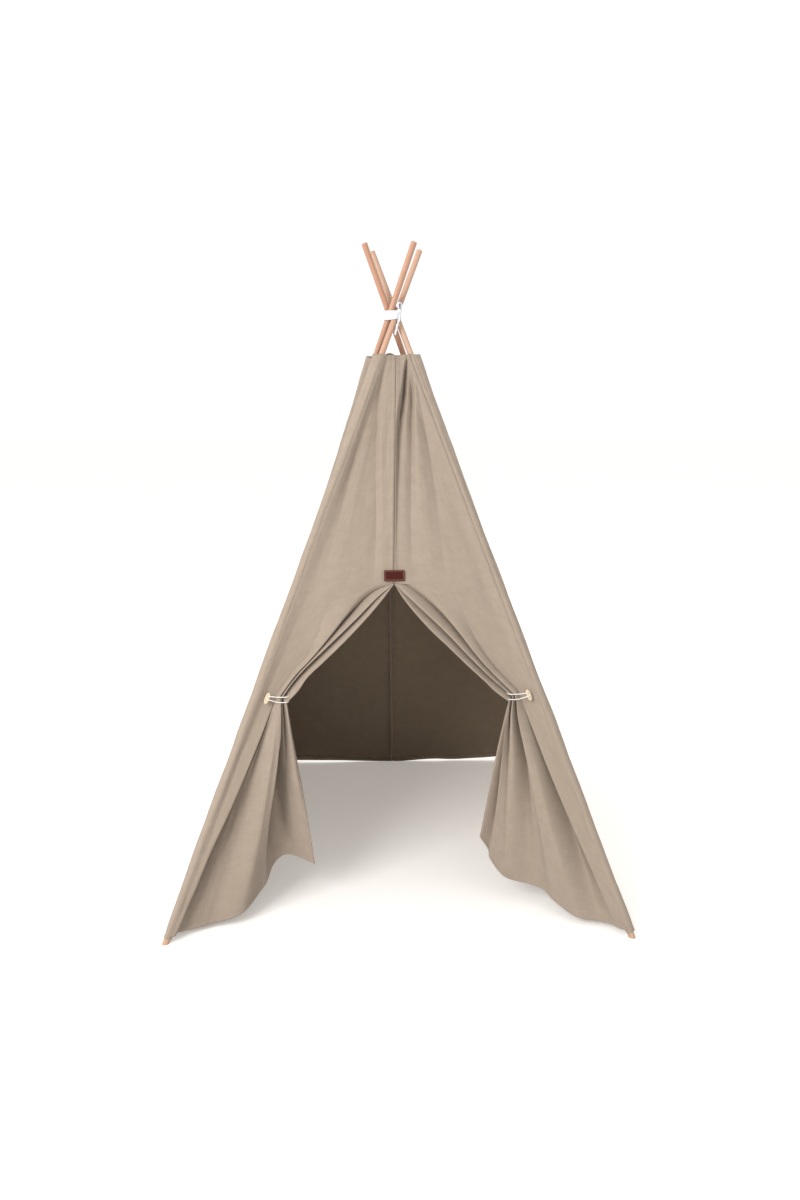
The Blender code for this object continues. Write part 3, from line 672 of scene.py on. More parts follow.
def smooth_path(points, count):
    """Smooth path through points that lie unevenly far apart, with count steps between each pair."""
    last = len(points) - 1
    tangents = []
    for index, point in enumerate(points):
        before = point - points[max(index - 1, 0)]
        after = points[min(index + 1, last)] - point
        if index == 0 or index == last:
            tangents.append(before + after)
            continue
        way = before.normalized() * after.length + after.normalized() * before.length
        tangents.append(way.normalized() * min(before.length, after.length))
    path = []
    for index in range(last):
        for step in range(count):
            h00, h10, h01, h11 = hermite(step / count)
            along = points[index] * h00 + points[index + 1] * h01
            path.append(along + tangents[index] * h10 + tangents[index + 1] * h11)
    return path + [points[last]]


# Poles


ROD_SIDES = 40
ROD_STEPS = 24
ROD_END_ROUND = 0.0018
ROD_END_TURNS = [math.radians(degrees) for degrees in (0, 22, 45, 68, 90)]
ROD_OVERRUN = 0.010


def add_rods(corner):
    """The pole's three sections, with rounded ends and a foot cut level with the floor."""
    foot, direction = FEET[corner], pole_direction(corner)
    turn = direction.to_track_quat("Z", "Y").to_matrix().to_4x4()
    place = Matrix.Translation(foot) @ turn
    section = POLE_LENGTH / POLE_SECTIONS
    radius = POLE_DIAMETER / 2
    for index, part in enumerate(("lower", "middle", "upper")):
        node = "pole_{}_{}".format(corner, part)
        low = index * section + (SECTION_GAP / 2 if index else 0.0)
        high = (index + 1) * section - (SECTION_GAP / 2 if index < POLE_SECTIONS - 1 else 0.0)
        rounding = [(radius - ROD_END_ROUND * (1.0 - math.sin(turn)), ROD_END_ROUND * (1.0 - math.cos(turn)))
                    for turn in ROD_END_TURNS]
        profile = [(reach, high - fall) for reach, fall in rounding]
        straight = high - low - 2 * ROD_END_ROUND
        profile += [(radius, high - ROD_END_ROUND - straight * s / ROD_STEPS) for s in range(ROD_STEPS + 1)]
        if index:
            profile += [(radius - ROD_END_ROUND * (1.0 - math.cos(turn)),
                         low + ROD_END_ROUND * (1.0 - math.sin(turn))) for turn in ROD_END_TURNS[1:]]
        else:
            profile += [(radius, -ROD_OVERRUN)]
        builder = bmesh.new()
        rings = [turned_ring(builder, reach, rise, ROD_SIDES) for reach, rise in profile]
        join_rings(builder, rings, flip=True)
        if not index:
            floor_normal = place.inverted().to_3x3() @ Vector((0.0, 0.0, 1.0))
            geometry = builder.verts[:] + builder.edges[:] + builder.faces[:]
            cut = bmesh.ops.bisect_plane(builder, geom=geometry, plane_co=(0.0, 0.0, 0.0),
                                         plane_no=floor_normal, clear_inner=True)
            rim = [item for item in cut["geom_cut"] if isinstance(item, bmesh.types.BMEdge)]
            bmesh.ops.contextual_create(builder, geom=rim)
        mesh = mesh_of("rod_{}_{}".format(corner, part), builder, 40.0)
        shift = Vector((0.31 * CORNERS[corner][0], 0.27 * CORNERS[corner][1], 0.7 * index))
        set_grain(mesh, lambda spot: spot + shift)
        mesh.transform(place)
        rod = make_object("rod_{}_{}".format(corner, part), mesh, WOODS[corner])
        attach(rod, "pole_" + corner)
        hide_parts(node)


# Sleeves

SLEEVE_SIDES = 44
SLEEVE_ROWS = 170
SLEEVE_SEAM_DEPTH = 0.0012
LIP_RISE = 0.0005

# How far the slack sleeve stands off the pole's middle, at shares of the way from its foot to its mouth
SLEEVE_REACHES = ((0.0, 0.0100), (0.04, 0.0112), (0.3, 0.0125), (0.8, 0.0150), (0.93, 0.0185), (1.0, 0.0215))

# Height of the stretch above the foot where the sleeve is drawn in, and of the stretch in which that fades
DRAWN_TOP = 0.030
DRAWN_FADE = 0.022


def sleeve_section(angle, reach, radius):
    """Distance from the pole's middle to a loose sleeve that is drawn out to reach towards angle zero."""
    if reach <= radius * 1.001:
        return radius
    turn = abs((angle + math.pi) % (2.0 * math.pi) - math.pi)
    tangent = math.acos(radius / reach)
    if turn >= tangent:
        return radius
    straight = radius / math.cos(tangent - turn)
    soft = radius + (reach - radius) * 0.5 * (1.0 + math.cos(math.pi * turn / tangent))
    return straight * 0.55 + soft * 0.45


def add_sleeve(corner):
    """Long loose pocket of canvas round a pole, open at its upper mouth and drawn in above the foot."""
    direction = pole_direction(corner)
    foot = FEET[corner]
    top = (CANVAS_TOP / CROSSING_HEIGHT) * (PIVOTS[corner] - foot).length
    slack_way = Vector((CORNERS[corner][0], 0.0, 0.0))
    slack_way = (slack_way - direction * slack_way.dot(direction)).normalized()
    other_way = direction.cross(slack_way)
    seed = 7.3 * CORNERS[corner][0] + 3.1 * CORNERS[corner][1]
    length = top - SLEEVE_FOOT_REVEAL
    spread = [SLEEVE_FOOT_REVEAL + length * row / SLEEVE_ROWS for row in range(SLEEVE_ROWS + 1)]
    hem_rows = [SLEEVE_FOOT_REVEAL + rise for rise in (0.002, 0.009, 0.010, 0.011)]
    spread = sorted(spread + hem_rows + [top - 0.009, top - 0.010, top - 0.011])
    rows = []
    for along in spread:
        rise = along - SLEEVE_FOOT_REVEAL
        share = rise / length
        reach = smooth_curve(SLEEVE_REACHES, share)
        drawn = smooth_step((DRAWN_TOP - rise) / DRAWN_FADE)
        radius = SLEEVE_RADIUS - CANVAS_THICKNESS / 2 - 0.0004 - 0.0011 * drawn
        lip = LIP_RISE * dip(rise - 0.005, 0.006) + LIP_RISE * dip(top - along - 0.005, 0.006)
        groove = STITCH_GROOVE * (dip(rise - 0.010, 0.0009) + dip(top - along - 0.010, 0.0009))
        ring = []
        for step in range(SLEEVE_SIDES + 1):
            angle = 2.0 * math.pi * (step % SLEEVE_SIDES) / SLEEVE_SIDES
            wave = noise.noise(Vector((1.3 * math.cos(angle), 1.3 * math.sin(angle), along * 9.0 + seed)))
            fine = noise.noise(Vector((2.8 * math.cos(angle), 2.8 * math.sin(angle), along * 42.0 + seed)))
            gather = 0.0007 * drawn * math.cos(7.0 * angle + seed)
            away = sleeve_section(angle, max(reach, radius) + 0.0016 * wave, radius)
            away += 0.0009 * wave + 0.0005 * fine + gather + lip - groove
            if step % SLEEVE_SIDES in (3, SLEEVE_SIDES - 3):
                away -= SLEEVE_SEAM_DEPTH
            away = max(away, POLE_DIAMETER / 2 + CANVAS_THICKNESS / 2 + 0.0003)
            way = slack_way * math.cos(angle) + other_way * math.sin(angle)
            dip_down = 0.004 * smooth_step(share * 40.0 - 39.0) * math.cos(angle)
            ring.append(foot + direction * (along - dip_down) + way * away)
        rows.append(ring)
    around = [2.0 * math.pi * SLEEVE_RADIUS * step / SLEEVE_SIDES for step in range(SLEEVE_SIDES + 1)]
    places = [[(across, along) for across in around] for along in spread]
    sleeve = cloth_from_grids("cover_sleeve_" + corner, [(rows, places)], SLEEVE_CANVAS)
    apply_modifiers(sleeve)
    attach(sleeve, "pole_" + corner)
    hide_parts("sleeve_" + corner)


# Walls

WALL_COLUMNS = 96
WALL_ROWS = 110

# Hem heights in millimetres along a wall, at shares of its width
BACK_HEM_MM = ((0.0, 15.0), (0.12, 14.0), (0.30, 6.0), (0.36, 9.0), (0.44, 4.0), (0.50, 2.0), (0.60, 4.0),
               (0.70, 9.0), (0.85, 10.0), (1.0, 13.0))
SIDE_HEM_MM = ((0.0, 12.0), (0.25, 6.0), (0.5, 4.0), (0.75, 7.0), (1.0, 12.0))

# Soft folds of a wall: where each starts at the top and ends lower down as shares of the width, the height
# at which it has gone, its depth in millimetres, outward positive, and its width in millimetres at the top
SIDE_FOLDS = ((0.20, 0.30, 0.30, -24, 11), (0.36, 0.38, 0.10, 16, 12), (0.57, 0.50, 0.20, -26, 12),
              (0.73, 0.66, 0.10, 16, 12), (0.88, 0.80, 0.45, -16, 9), (0.50, 0.46, 0.02, 14, 45))
BACK_FOLDS = ((0.16, 0.27, 0.30, -22, 10), (0.33, 0.38, 0.15, 16, 11), (0.64, 0.58, 0.20, 16, 11),
              (0.82, 0.72, 0.35, -22, 10), (0.27, 0.30, 0.05, 12, 45), (0.75, 0.72, 0.05, 12, 45))


# How high the long, fine and smallest ripples of the cloth stand
RIPPLE_HEIGHTS = (0.0080, 0.0028, 0.0006)

# Pulls that fan out from a wall's lower corners: their height, the distance over which they die out,
# the distance at which they have formed, and the margin beside the sleeve that stays calm
PULL_HEIGHT = 0.0100
PULL_FADE = 0.16
PULL_START = 0.06
PULL_MARGIN = 0.03


def wall_sag(across, height):
    down = 1.0 - height / CANVAS_TOP
    return WALL_SAG * math.sin(math.pi * across) * math.sin(math.pi * down * WALL_SAG_PEAK_SHARE)


def top_fold(height):
    return TOP_FOLD_DEPTH * smooth_step((height - CANVAS_TOP + TOP_FOLD_LENGTH) / TOP_FOLD_LENGTH)


def cloth_ripple(across, height, seed):
    """Small slack ripples that run down the cloth and fade at its edges."""
    edge = smooth_step(across * 8.0) * smooth_step((1.0 - across) * 8.0)
    long = noise.noise(Vector((across * 3.2 + seed, height * 1.3, seed)))
    fine = noise.noise(Vector((across * 9.0 - seed, height * 4.0, seed * 2.0)))
    crumple = noise.noise(Vector((across * 26.0 + seed, height * 15.0, seed * 3.0)))
    return edge * sum(high * wave for high, wave in zip(RIPPLE_HEIGHTS, (long, fine, crumple)))


def wall_folds(folds, across, height, width):
    """Depth of the long folds that run down from the drawn-in top, and of the lower corners' pulls."""
    depth = 0.0
    for start, end, gone, millimetres, wide in folds:
        part = (CANVAS_TOP - height) / (CANVAS_TOP - gone)
        if part >= 1.0:
            continue
        reach = (across - start - (end - start) * part) * width
        spread = wide * 0.001 * (1.0 + 5.0 * part)
        depth += millimetres * 0.001 * math.exp(-(reach / spread) ** 2) * (1.0 - part) ** 1.3
    for side in (across, 1.0 - across):
        away = math.hypot(side * width, height)
        turn = math.atan2(height, max(side * width, 1e-6))
        pull = math.sin(7.0 * turn) * math.exp(-away / PULL_FADE) * smooth_step(away / PULL_START)
        depth += PULL_HEIGHT * pull * smooth_step(side * width / PULL_MARGIN)
    return depth


def add_wall(name, corner, neighbour, seams, body, nodes, seed, hem_mm, folds):
    """A wall's cloth between two sleeves, with a seam down each place in seams, and all its stitches."""
    normal = outward(corner, neighbour)
    anchors = [(0.0, EDGE_OFFSETS)]
    both = [-offset for offset in SEAM_OFFSETS[:0:-1]] + list(SEAM_OFFSETS)
    anchors += [(seam, both) for seam in seams]
    anchors.append((1.0, [-offset for offset in EDGE_OFFSETS[::-1]]))
    columns = column_places(anchors, [WALL_COLUMNS // (len(seams) + 1)] * (len(seams) + 1))
    levels = [(0.0, drop) for drop in HEM_RISES[::-1]]
    levels += [(row / WALL_ROWS, HEM_RISES[0] * (1.0 - row / WALL_ROWS)) for row in range(1, WALL_ROWS)]
    levels += [(1.0, -rise) for rise in HEM_RISES]
    rows = []
    for level, metres in levels:
        line = []
        for share, offset in columns:
            rough = CANVAS_TOP + (HEM_HEIGHT - CANVAS_TOP) * level
            width = (seam_point(neighbour, corner, rough) - seam_point(corner, neighbour, rough)).length
            across = share + offset / width
            hem_height = smooth_curve(hem_mm, across) * 0.001
            height = CANVAS_TOP + (hem_height - CANVAS_TOP) * level - metres
            start, end = seam_point(corner, neighbour, height), seam_point(neighbour, corner, height)
            fold = top_fold(height) * math.sin(4.0 * math.pi * across)
            if seams:
                fold = -top_fold(height) * math.sin(2.0 * math.pi * across) ** 2
            depth = fold - wall_sag(across, height) + cloth_ripple(across, height, seed)
            depth += wall_folds(folds, across, height, width)
            depth *= smooth_step(min(across, 1.0 - across) * width / CALM_REACH)
            depth += hem_relief(height - hem_height) + hem_relief(CANVAS_TOP - height)
            edge = min(across, 1.0 - across) * width
            depth += edge_relief(edge)
            for seam in seams:
                reach = abs(across - seam) * width
                depth += seam_relief(reach) + 2.0 * SEAM_GROOVE * dip(reach, SEAM_GROOVE_REACH)
            toward_pole = (start - end).normalized() * (1.0 if across < 0.5 else -1.0)
            line.append(start.lerp(end, across) + normal * depth + shoulder(edge, normal, toward_pole))
        rows.append(line)
    # The back wall takes the canvas with painted warm shade; the side walls take the plain canvas.
    wall = cloth_from_grids(name, [(rows, flat_places(rows))], BACK_CANVAS_PAINTED_SHADE if seams else CANVAS)
    apply_modifiers(wall)
    lines = []
    for index, (share, offset) in enumerate(columns):
        if abs(abs(offset) - STITCH_INSET) < 1e-6:
            lines.append(raised(rows, [(row, index) for row in range(len(rows))], normal))
    for index, (level, metres) in enumerate(levels):
        if abs(abs(metres) - HEM_STITCH_RISE) < 1e-6 and level in (0.0, 1.0):
            lines.append(raised(rows, [(index, column) for column in range(len(columns))], normal))
    extras = [add_stitches(name.replace("cover", "stitches"), lines, body)]
    for seam in seams:
        middle = min(range(len(columns)), key=lambda c: abs(columns[c][0] - seam) + abs(columns[c][1]))
        strip_rows = []
        for row in rows[:-len(HEM_RISES) + 1]:
            aside = (row[middle + 1] - row[middle]).normalized()
            strip_rows.append([row[middle] + aside * across - normal * inward
                               for across, inward in SEAM_STRIP])
        strip_name = name.replace("cover", "seam_strip")
        strip = cloth_from_grids(strip_name, [(strip_rows, flat_places(strip_rows))], SEAM_CLOTH)
        apply_modifiers(strip)
        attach(strip, body)
        extras.append(strip)
    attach(wall, body)
    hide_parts(*nodes)
    return [wall] + extras


# Front halves, each with its drawn back door flap

STRIP_COLUMNS = 40
PANEL_COLUMNS = 60
PLEAT_COLUMNS = 56
ROWS_ABOVE_DOOR = 96
ROWS_TO_GATHER = 90
ROWS_BELOW_GATHER = 110

# Share of the flap's cloth that lies beside the sleeve, outside the bunch
OUTER_CLOTH_SHARE = 0.14

# How far a fold's outer side hangs over its crease, as a share of its depth
PLEAT_LEAN_SHARE = 0.55
FLAP_LEAN_SHARE = 0.40

# How suddenly the panel dips into the first pleat's crease
PANEL_DROP_POWER = 5

# The soft crease of each panel starts this far beside the door's top
PANEL_CREASE_START = 0.130
PANEL_LEAST_WIDTH = 0.02
PANEL_RIDGE_PLACE = 0.62

# Sag of the panel's outer strip, places of the creases across the pleats, and the lap of the flap's free edge
STRIP_DROP = 0.003
PLEAT_PLACES = (0.0, 0.28, 0.5, 0.8, 1.0)
PLEAT_NAMES = ("first", "first_ridge", "second", "second_ridge", "edge")
FREE_EDGE_START = 0.982

# Height of the small wrinkles of the hanging flaps that run down the cloth and across it
UPRIGHT_WRINKLE = 0.0016
LEVEL_WRINKLE = 0.0014

# Creases between the door's top and the gather, in the plane of the front wall. Each row gives how far
# down the straight line from the crease's start to the gather it lies, as a share of that line, and how far
# from the line it is, in millimetres, upward positive.
CREASES_MM = {
    "left": {
        "panel": ((0.0, 0.0), (0.25, 2.0), (0.45, -6.0), (0.62, -4.0), (0.75, 2.0), (0.87, 11.0),
                  (1.0, 18.0)),
        "first": ((0.0, 0.0), (0.127, 15.0), (0.323, 18.0), (0.463, 20.0), (0.60, 22.5), (0.70, 24.5),
                  (0.80, 24.5),
                  (0.90, 19.0), (1.0, 11.0)),
        "second": ((0.0, 0.0), (0.13, 4.0), (0.293, 5.0), (0.439, 6.9), (0.60, 8.5), (0.80, 9.4),
                   (0.903, 7.5),
                   (1.0, 1.0)),
        "edge": ((0.0, 0.0), (0.13, -8.0), (0.264, -12.0), (0.492, -13.0), (0.654, -11.0), (0.80, -9.0),
                 (0.90, -17.0), (1.0, -16.0)),
    },
    "right": {
        "panel": ((0.0, 0.0), (0.25, -2.0), (0.45, -9.0), (0.62, -8.0), (0.75, -3.0), (0.87, 6.0),
                  (1.0, 16.0)),
        "first": ((0.0, 0.0), (0.05, 12.0), (0.255, 17.5), (0.46, 18.0), (0.60, 14.0), (0.774, 9.0),
                  (0.878, 7.0),
                  (1.0, 5.0)),
        "second": ((0.0, 0.0), (0.13, -4.0), (0.371, -4.0), (0.50, -5.0), (0.632, -7.0), (0.80, -8.0),
                   (0.945, -5.0),
                   (1.0, -4.0)),
        "edge": ((0.0, 0.0), (0.118, -13.0), (0.344, -23.0), (0.51, -22.5), (0.675, -22.5), (0.816, -22.0),
                 (0.90, -24.0), (1.0, -19.0)),
    },
}

# Depth of creases and ridges in millimetres, outward positive, at shares of the way from the door's top
# to the gather
RELIEF_MM = {
    "panel": ((0.0, 0.0), (0.4, -4.0), (0.7, -9.0), (1.0, -8.0)),
    "panel_ridge": ((0.0, 0.0), (0.1, 2.0), (0.4, 9.0), (0.7, 12.0), (1.0, 7.0)),
    "first": ((0.0, 0.0), (0.1, -13.0), (0.4, -29.0), (0.7, -31.0), (1.0, -18.0)),
    "first_ridge": ((0.0, 0.0), (0.1, 5.0), (0.4, 11.0), (0.7, 12.0), (1.0, 8.0)),
    "second": ((0.0, 0.0), (0.1, -6.0), (0.4, -19.0), (0.7, -22.0), (1.0, -16.0)),
    "second_ridge": ((0.0, 0.0), (0.1, 4.0), (0.4, 11.0), (0.7, 12.0), (1.0, 8.0)),
    "edge": ((0.0, 0.0), (0.1, -3.0), (0.4, -8.0), (0.7, -9.0), (1.0, -7.0)),
}

# Folds of the gathered top, from the left sleeve to the right one. Each row of a fold gives metres down from
# the top, the fold's place across the front and its depth in millimetres, outward positive.
TOP_FOLDS_MM = (
    ((0.0, 0.0, 0), (0.6, 0.0, 0)),
    ((0.0, 0.06, -5), (0.11, 0.06, -9), (0.29, 0.08, -11), (0.42, 0.10, -6), (0.6, 0.10, 0)),
    ((0.0, 0.14, -6), (0.11, 0.18, -12), (0.17, 0.24, -14), (0.29, 0.31, -13), (0.42, 0.36, -7),
     (0.6, 0.38, 0)),
    ((0.0, 0.30, 0), (0.11, 0.27, 2), (0.17, 0.31, 3), (0.29, 0.37, 3), (0.42, 0.41, 2), (0.6, 0.42, 0)),
    ((0.0, 0.86, 1), (0.04, 0.68, 4), (0.11, 0.54, 6), (0.17, 0.475, 6), (0.29, 0.465, 4), (0.6, 0.47, 0)),
    ((0.0, 0.92, -12), (0.04, 0.74, -20), (0.11, 0.60, -24), (0.17, 0.53, -22), (0.29, 0.505, -16),
     (0.42, 0.495, -9), (0.6, 0.49, 0)),
    ((0.0, 0.94, -5), (0.04, 0.82, -8), (0.11, 0.69, -8), (0.17, 0.62, -8), (0.29, 0.57, -6), (0.6, 0.55, 0)),
    ((0.0, 0.96, -7), (0.04, 0.90, -13), (0.11, 0.78, -17), (0.17, 0.70, -16), (0.29, 0.63, -11),
     (0.42, 0.59, -5),
     (0.6, 0.57, 0)),
    ((0.0, 0.98, 0), (0.04, 0.945, 1), (0.11, 0.83, 3), (0.17, 0.76, 5), (0.29, 0.70, 4), (0.6, 0.66, 0)),
    ((0.0, 0.99, 0), (0.11, 0.90, -3), (0.17, 0.87, -5), (0.29, 0.82, -6), (0.42, 0.78, -4), (0.6, 0.74, 0)),
    ((0.0, 1.0, 0), (0.6, 1.0, 0)),
)

# Hem of each hanging flap, from the foot to the free corner: how far along the cloth it lies, how far it has
# gone from the foot to the gather in X and in Y, and its height above the hem as a share of the gather's
HEM_SHARES = {
    "left": (
        (0.00, 0.00, 0.00, 0.000),
        (0.25, 0.36, 0.29, 0.000),
        (0.40, 0.57, 0.47, 0.030),
        (0.55, 0.73, 0.70, 0.085),
        (0.72, 0.93, 0.85, 0.195),
        (0.82, 1.04, 0.90, 0.210),
        (1.00, 1.27, 0.92, 0.165),
    ),
    "right": (
        (0.00, 0.00, 0.00, 0.000),
        (0.20, 0.20, 0.18, 0.000),
        (0.35, 0.38, 0.32, 0.005),
        (0.47, 0.56, 0.47, 0.035),
        (0.60, 0.72, 0.65, 0.070),
        (0.80, 1.04, 0.83, 0.095),
        (0.92, 1.20, 0.89, 0.180),
        (1.00, 1.30, 0.92, 0.290),
    ),
}

# Folds of the hanging flaps, from the sleeve to the free edge. Each row of a fold gives a share of the way
# down from the gather, the fold's place across the cloth and its depth in millimetres, outward positive.
FLAP_FOLDS_MM = {
    "left": (
        ((0.0, 0.000, 0), (1.0, 0.000, 0)),
        ((0.0, 0.130, 0), (0.15, 0.112, 5), (0.35, 0.080, 8), (0.55, 0.046, 8), (0.75, 0.036, 6),
         (1.0, 0.022, 2)),
        ((0.0, 0.155, 0), (0.12, 0.148, -20), (0.35, 0.112, -42), (0.55, 0.074, -42), (0.75, 0.060, -32),
         (1.0, 0.048, -10)),
        ((0.0, 0.200, 0), (0.12, 0.205, 1), (0.3, 0.190, -12), (0.5, 0.180, -24), (1.0, 0.150, -6)),
        ((0.0, 0.240, 0), (0.12, 0.245, -6), (0.3, 0.230, -14), (0.5, 0.230, -16), (1.0, 0.200, -4)),
        ((0.0, 0.400, 0), (0.20, 0.410, 14), (0.5, 0.420, 24), (0.8, 0.410, 24), (1.0, 0.400, 20)),
        ((0.0, 0.600, 0), (0.12, 0.585, 10), (0.35, 0.535, 22), (0.6, 0.505, 26), (1.0, 0.570, 14)),
        ((0.0, 0.640, 0), (0.12, 0.640, -22), (0.35, 0.595, -42), (0.6, 0.580, -34), (1.0, 0.700, -8)),
        ((0.0, 0.740, 0), (0.12, 0.745, -24), (0.35, 0.765, -46), (0.6, 0.775, -34), (1.0, 0.850, -9)),
        ((0.0, 0.770, 0), (0.12, 0.780, 5), (0.35, 0.795, 6), (0.6, 0.840, -2), (1.0, 0.920, -6)),
        ((0.0, 1.000, 0), (0.12, 1.000, 0), (0.35, 1.000, 2), (0.6, 1.000, 5), (1.0, 1.000, 4)),
    ),
    "right": (
        ((0.0, 0.000, 0), (1.0, 0.000, 0)),
        ((0.0, 0.130, 0), (0.15, 0.125, 4), (0.4, 0.115, 7), (0.7, 0.090, 5), (1.0, 0.070, 0)),
        ((0.0, 0.155, 0), (0.12, 0.155, -24), (0.35, 0.150, -48), (0.6, 0.138, -44), (0.8, 0.128, -26),
         (1.0, 0.120, -6)),
        ((0.0, 0.200, 0), (0.12, 0.200, -8), (0.35, 0.215, -28), (0.6, 0.220, -26), (1.0, 0.200, -3)),
        ((0.0, 0.330, 0), (0.12, 0.330, 8), (0.35, 0.350, 11), (0.6, 0.370, 14), (1.0, 0.360, 14)),
        ((0.0, 0.460, 0), (0.12, 0.460, 13), (0.35, 0.460, 14), (0.6, 0.480, 11), (1.0, 0.500, 7)),
        ((0.0, 0.510, 0), (0.12, 0.510, -12), (0.35, 0.520, -15), (0.6, 0.560, -8), (1.0, 0.600, -2)),
        ((0.0, 0.620, 0), (0.12, 0.620, -6), (0.35, 0.640, -10), (0.6, 0.660, -8), (1.0, 0.680, -3)),
        ((0.0, 0.780, 0), (0.12, 0.780, 8), (0.35, 0.800, 10), (0.6, 0.810, 9), (1.0, 0.820, 6)),
        ((0.0, 0.900, 0), (0.12, 0.900, 6), (0.35, 0.905, 6), (0.6, 0.910, 5), (1.0, 0.920, 4)),
        ((0.0, 0.930, 0), (0.12, 0.930, -10), (0.35, 0.935, -17), (0.6, 0.940, -16), (1.0, 0.950, -6)),
        ((0.0, 1.000, 0), (0.12, 1.000, 3), (0.35, 1.000, 6), (0.6, 1.000, 7), (1.0, 1.000, 5)),
    ),
}


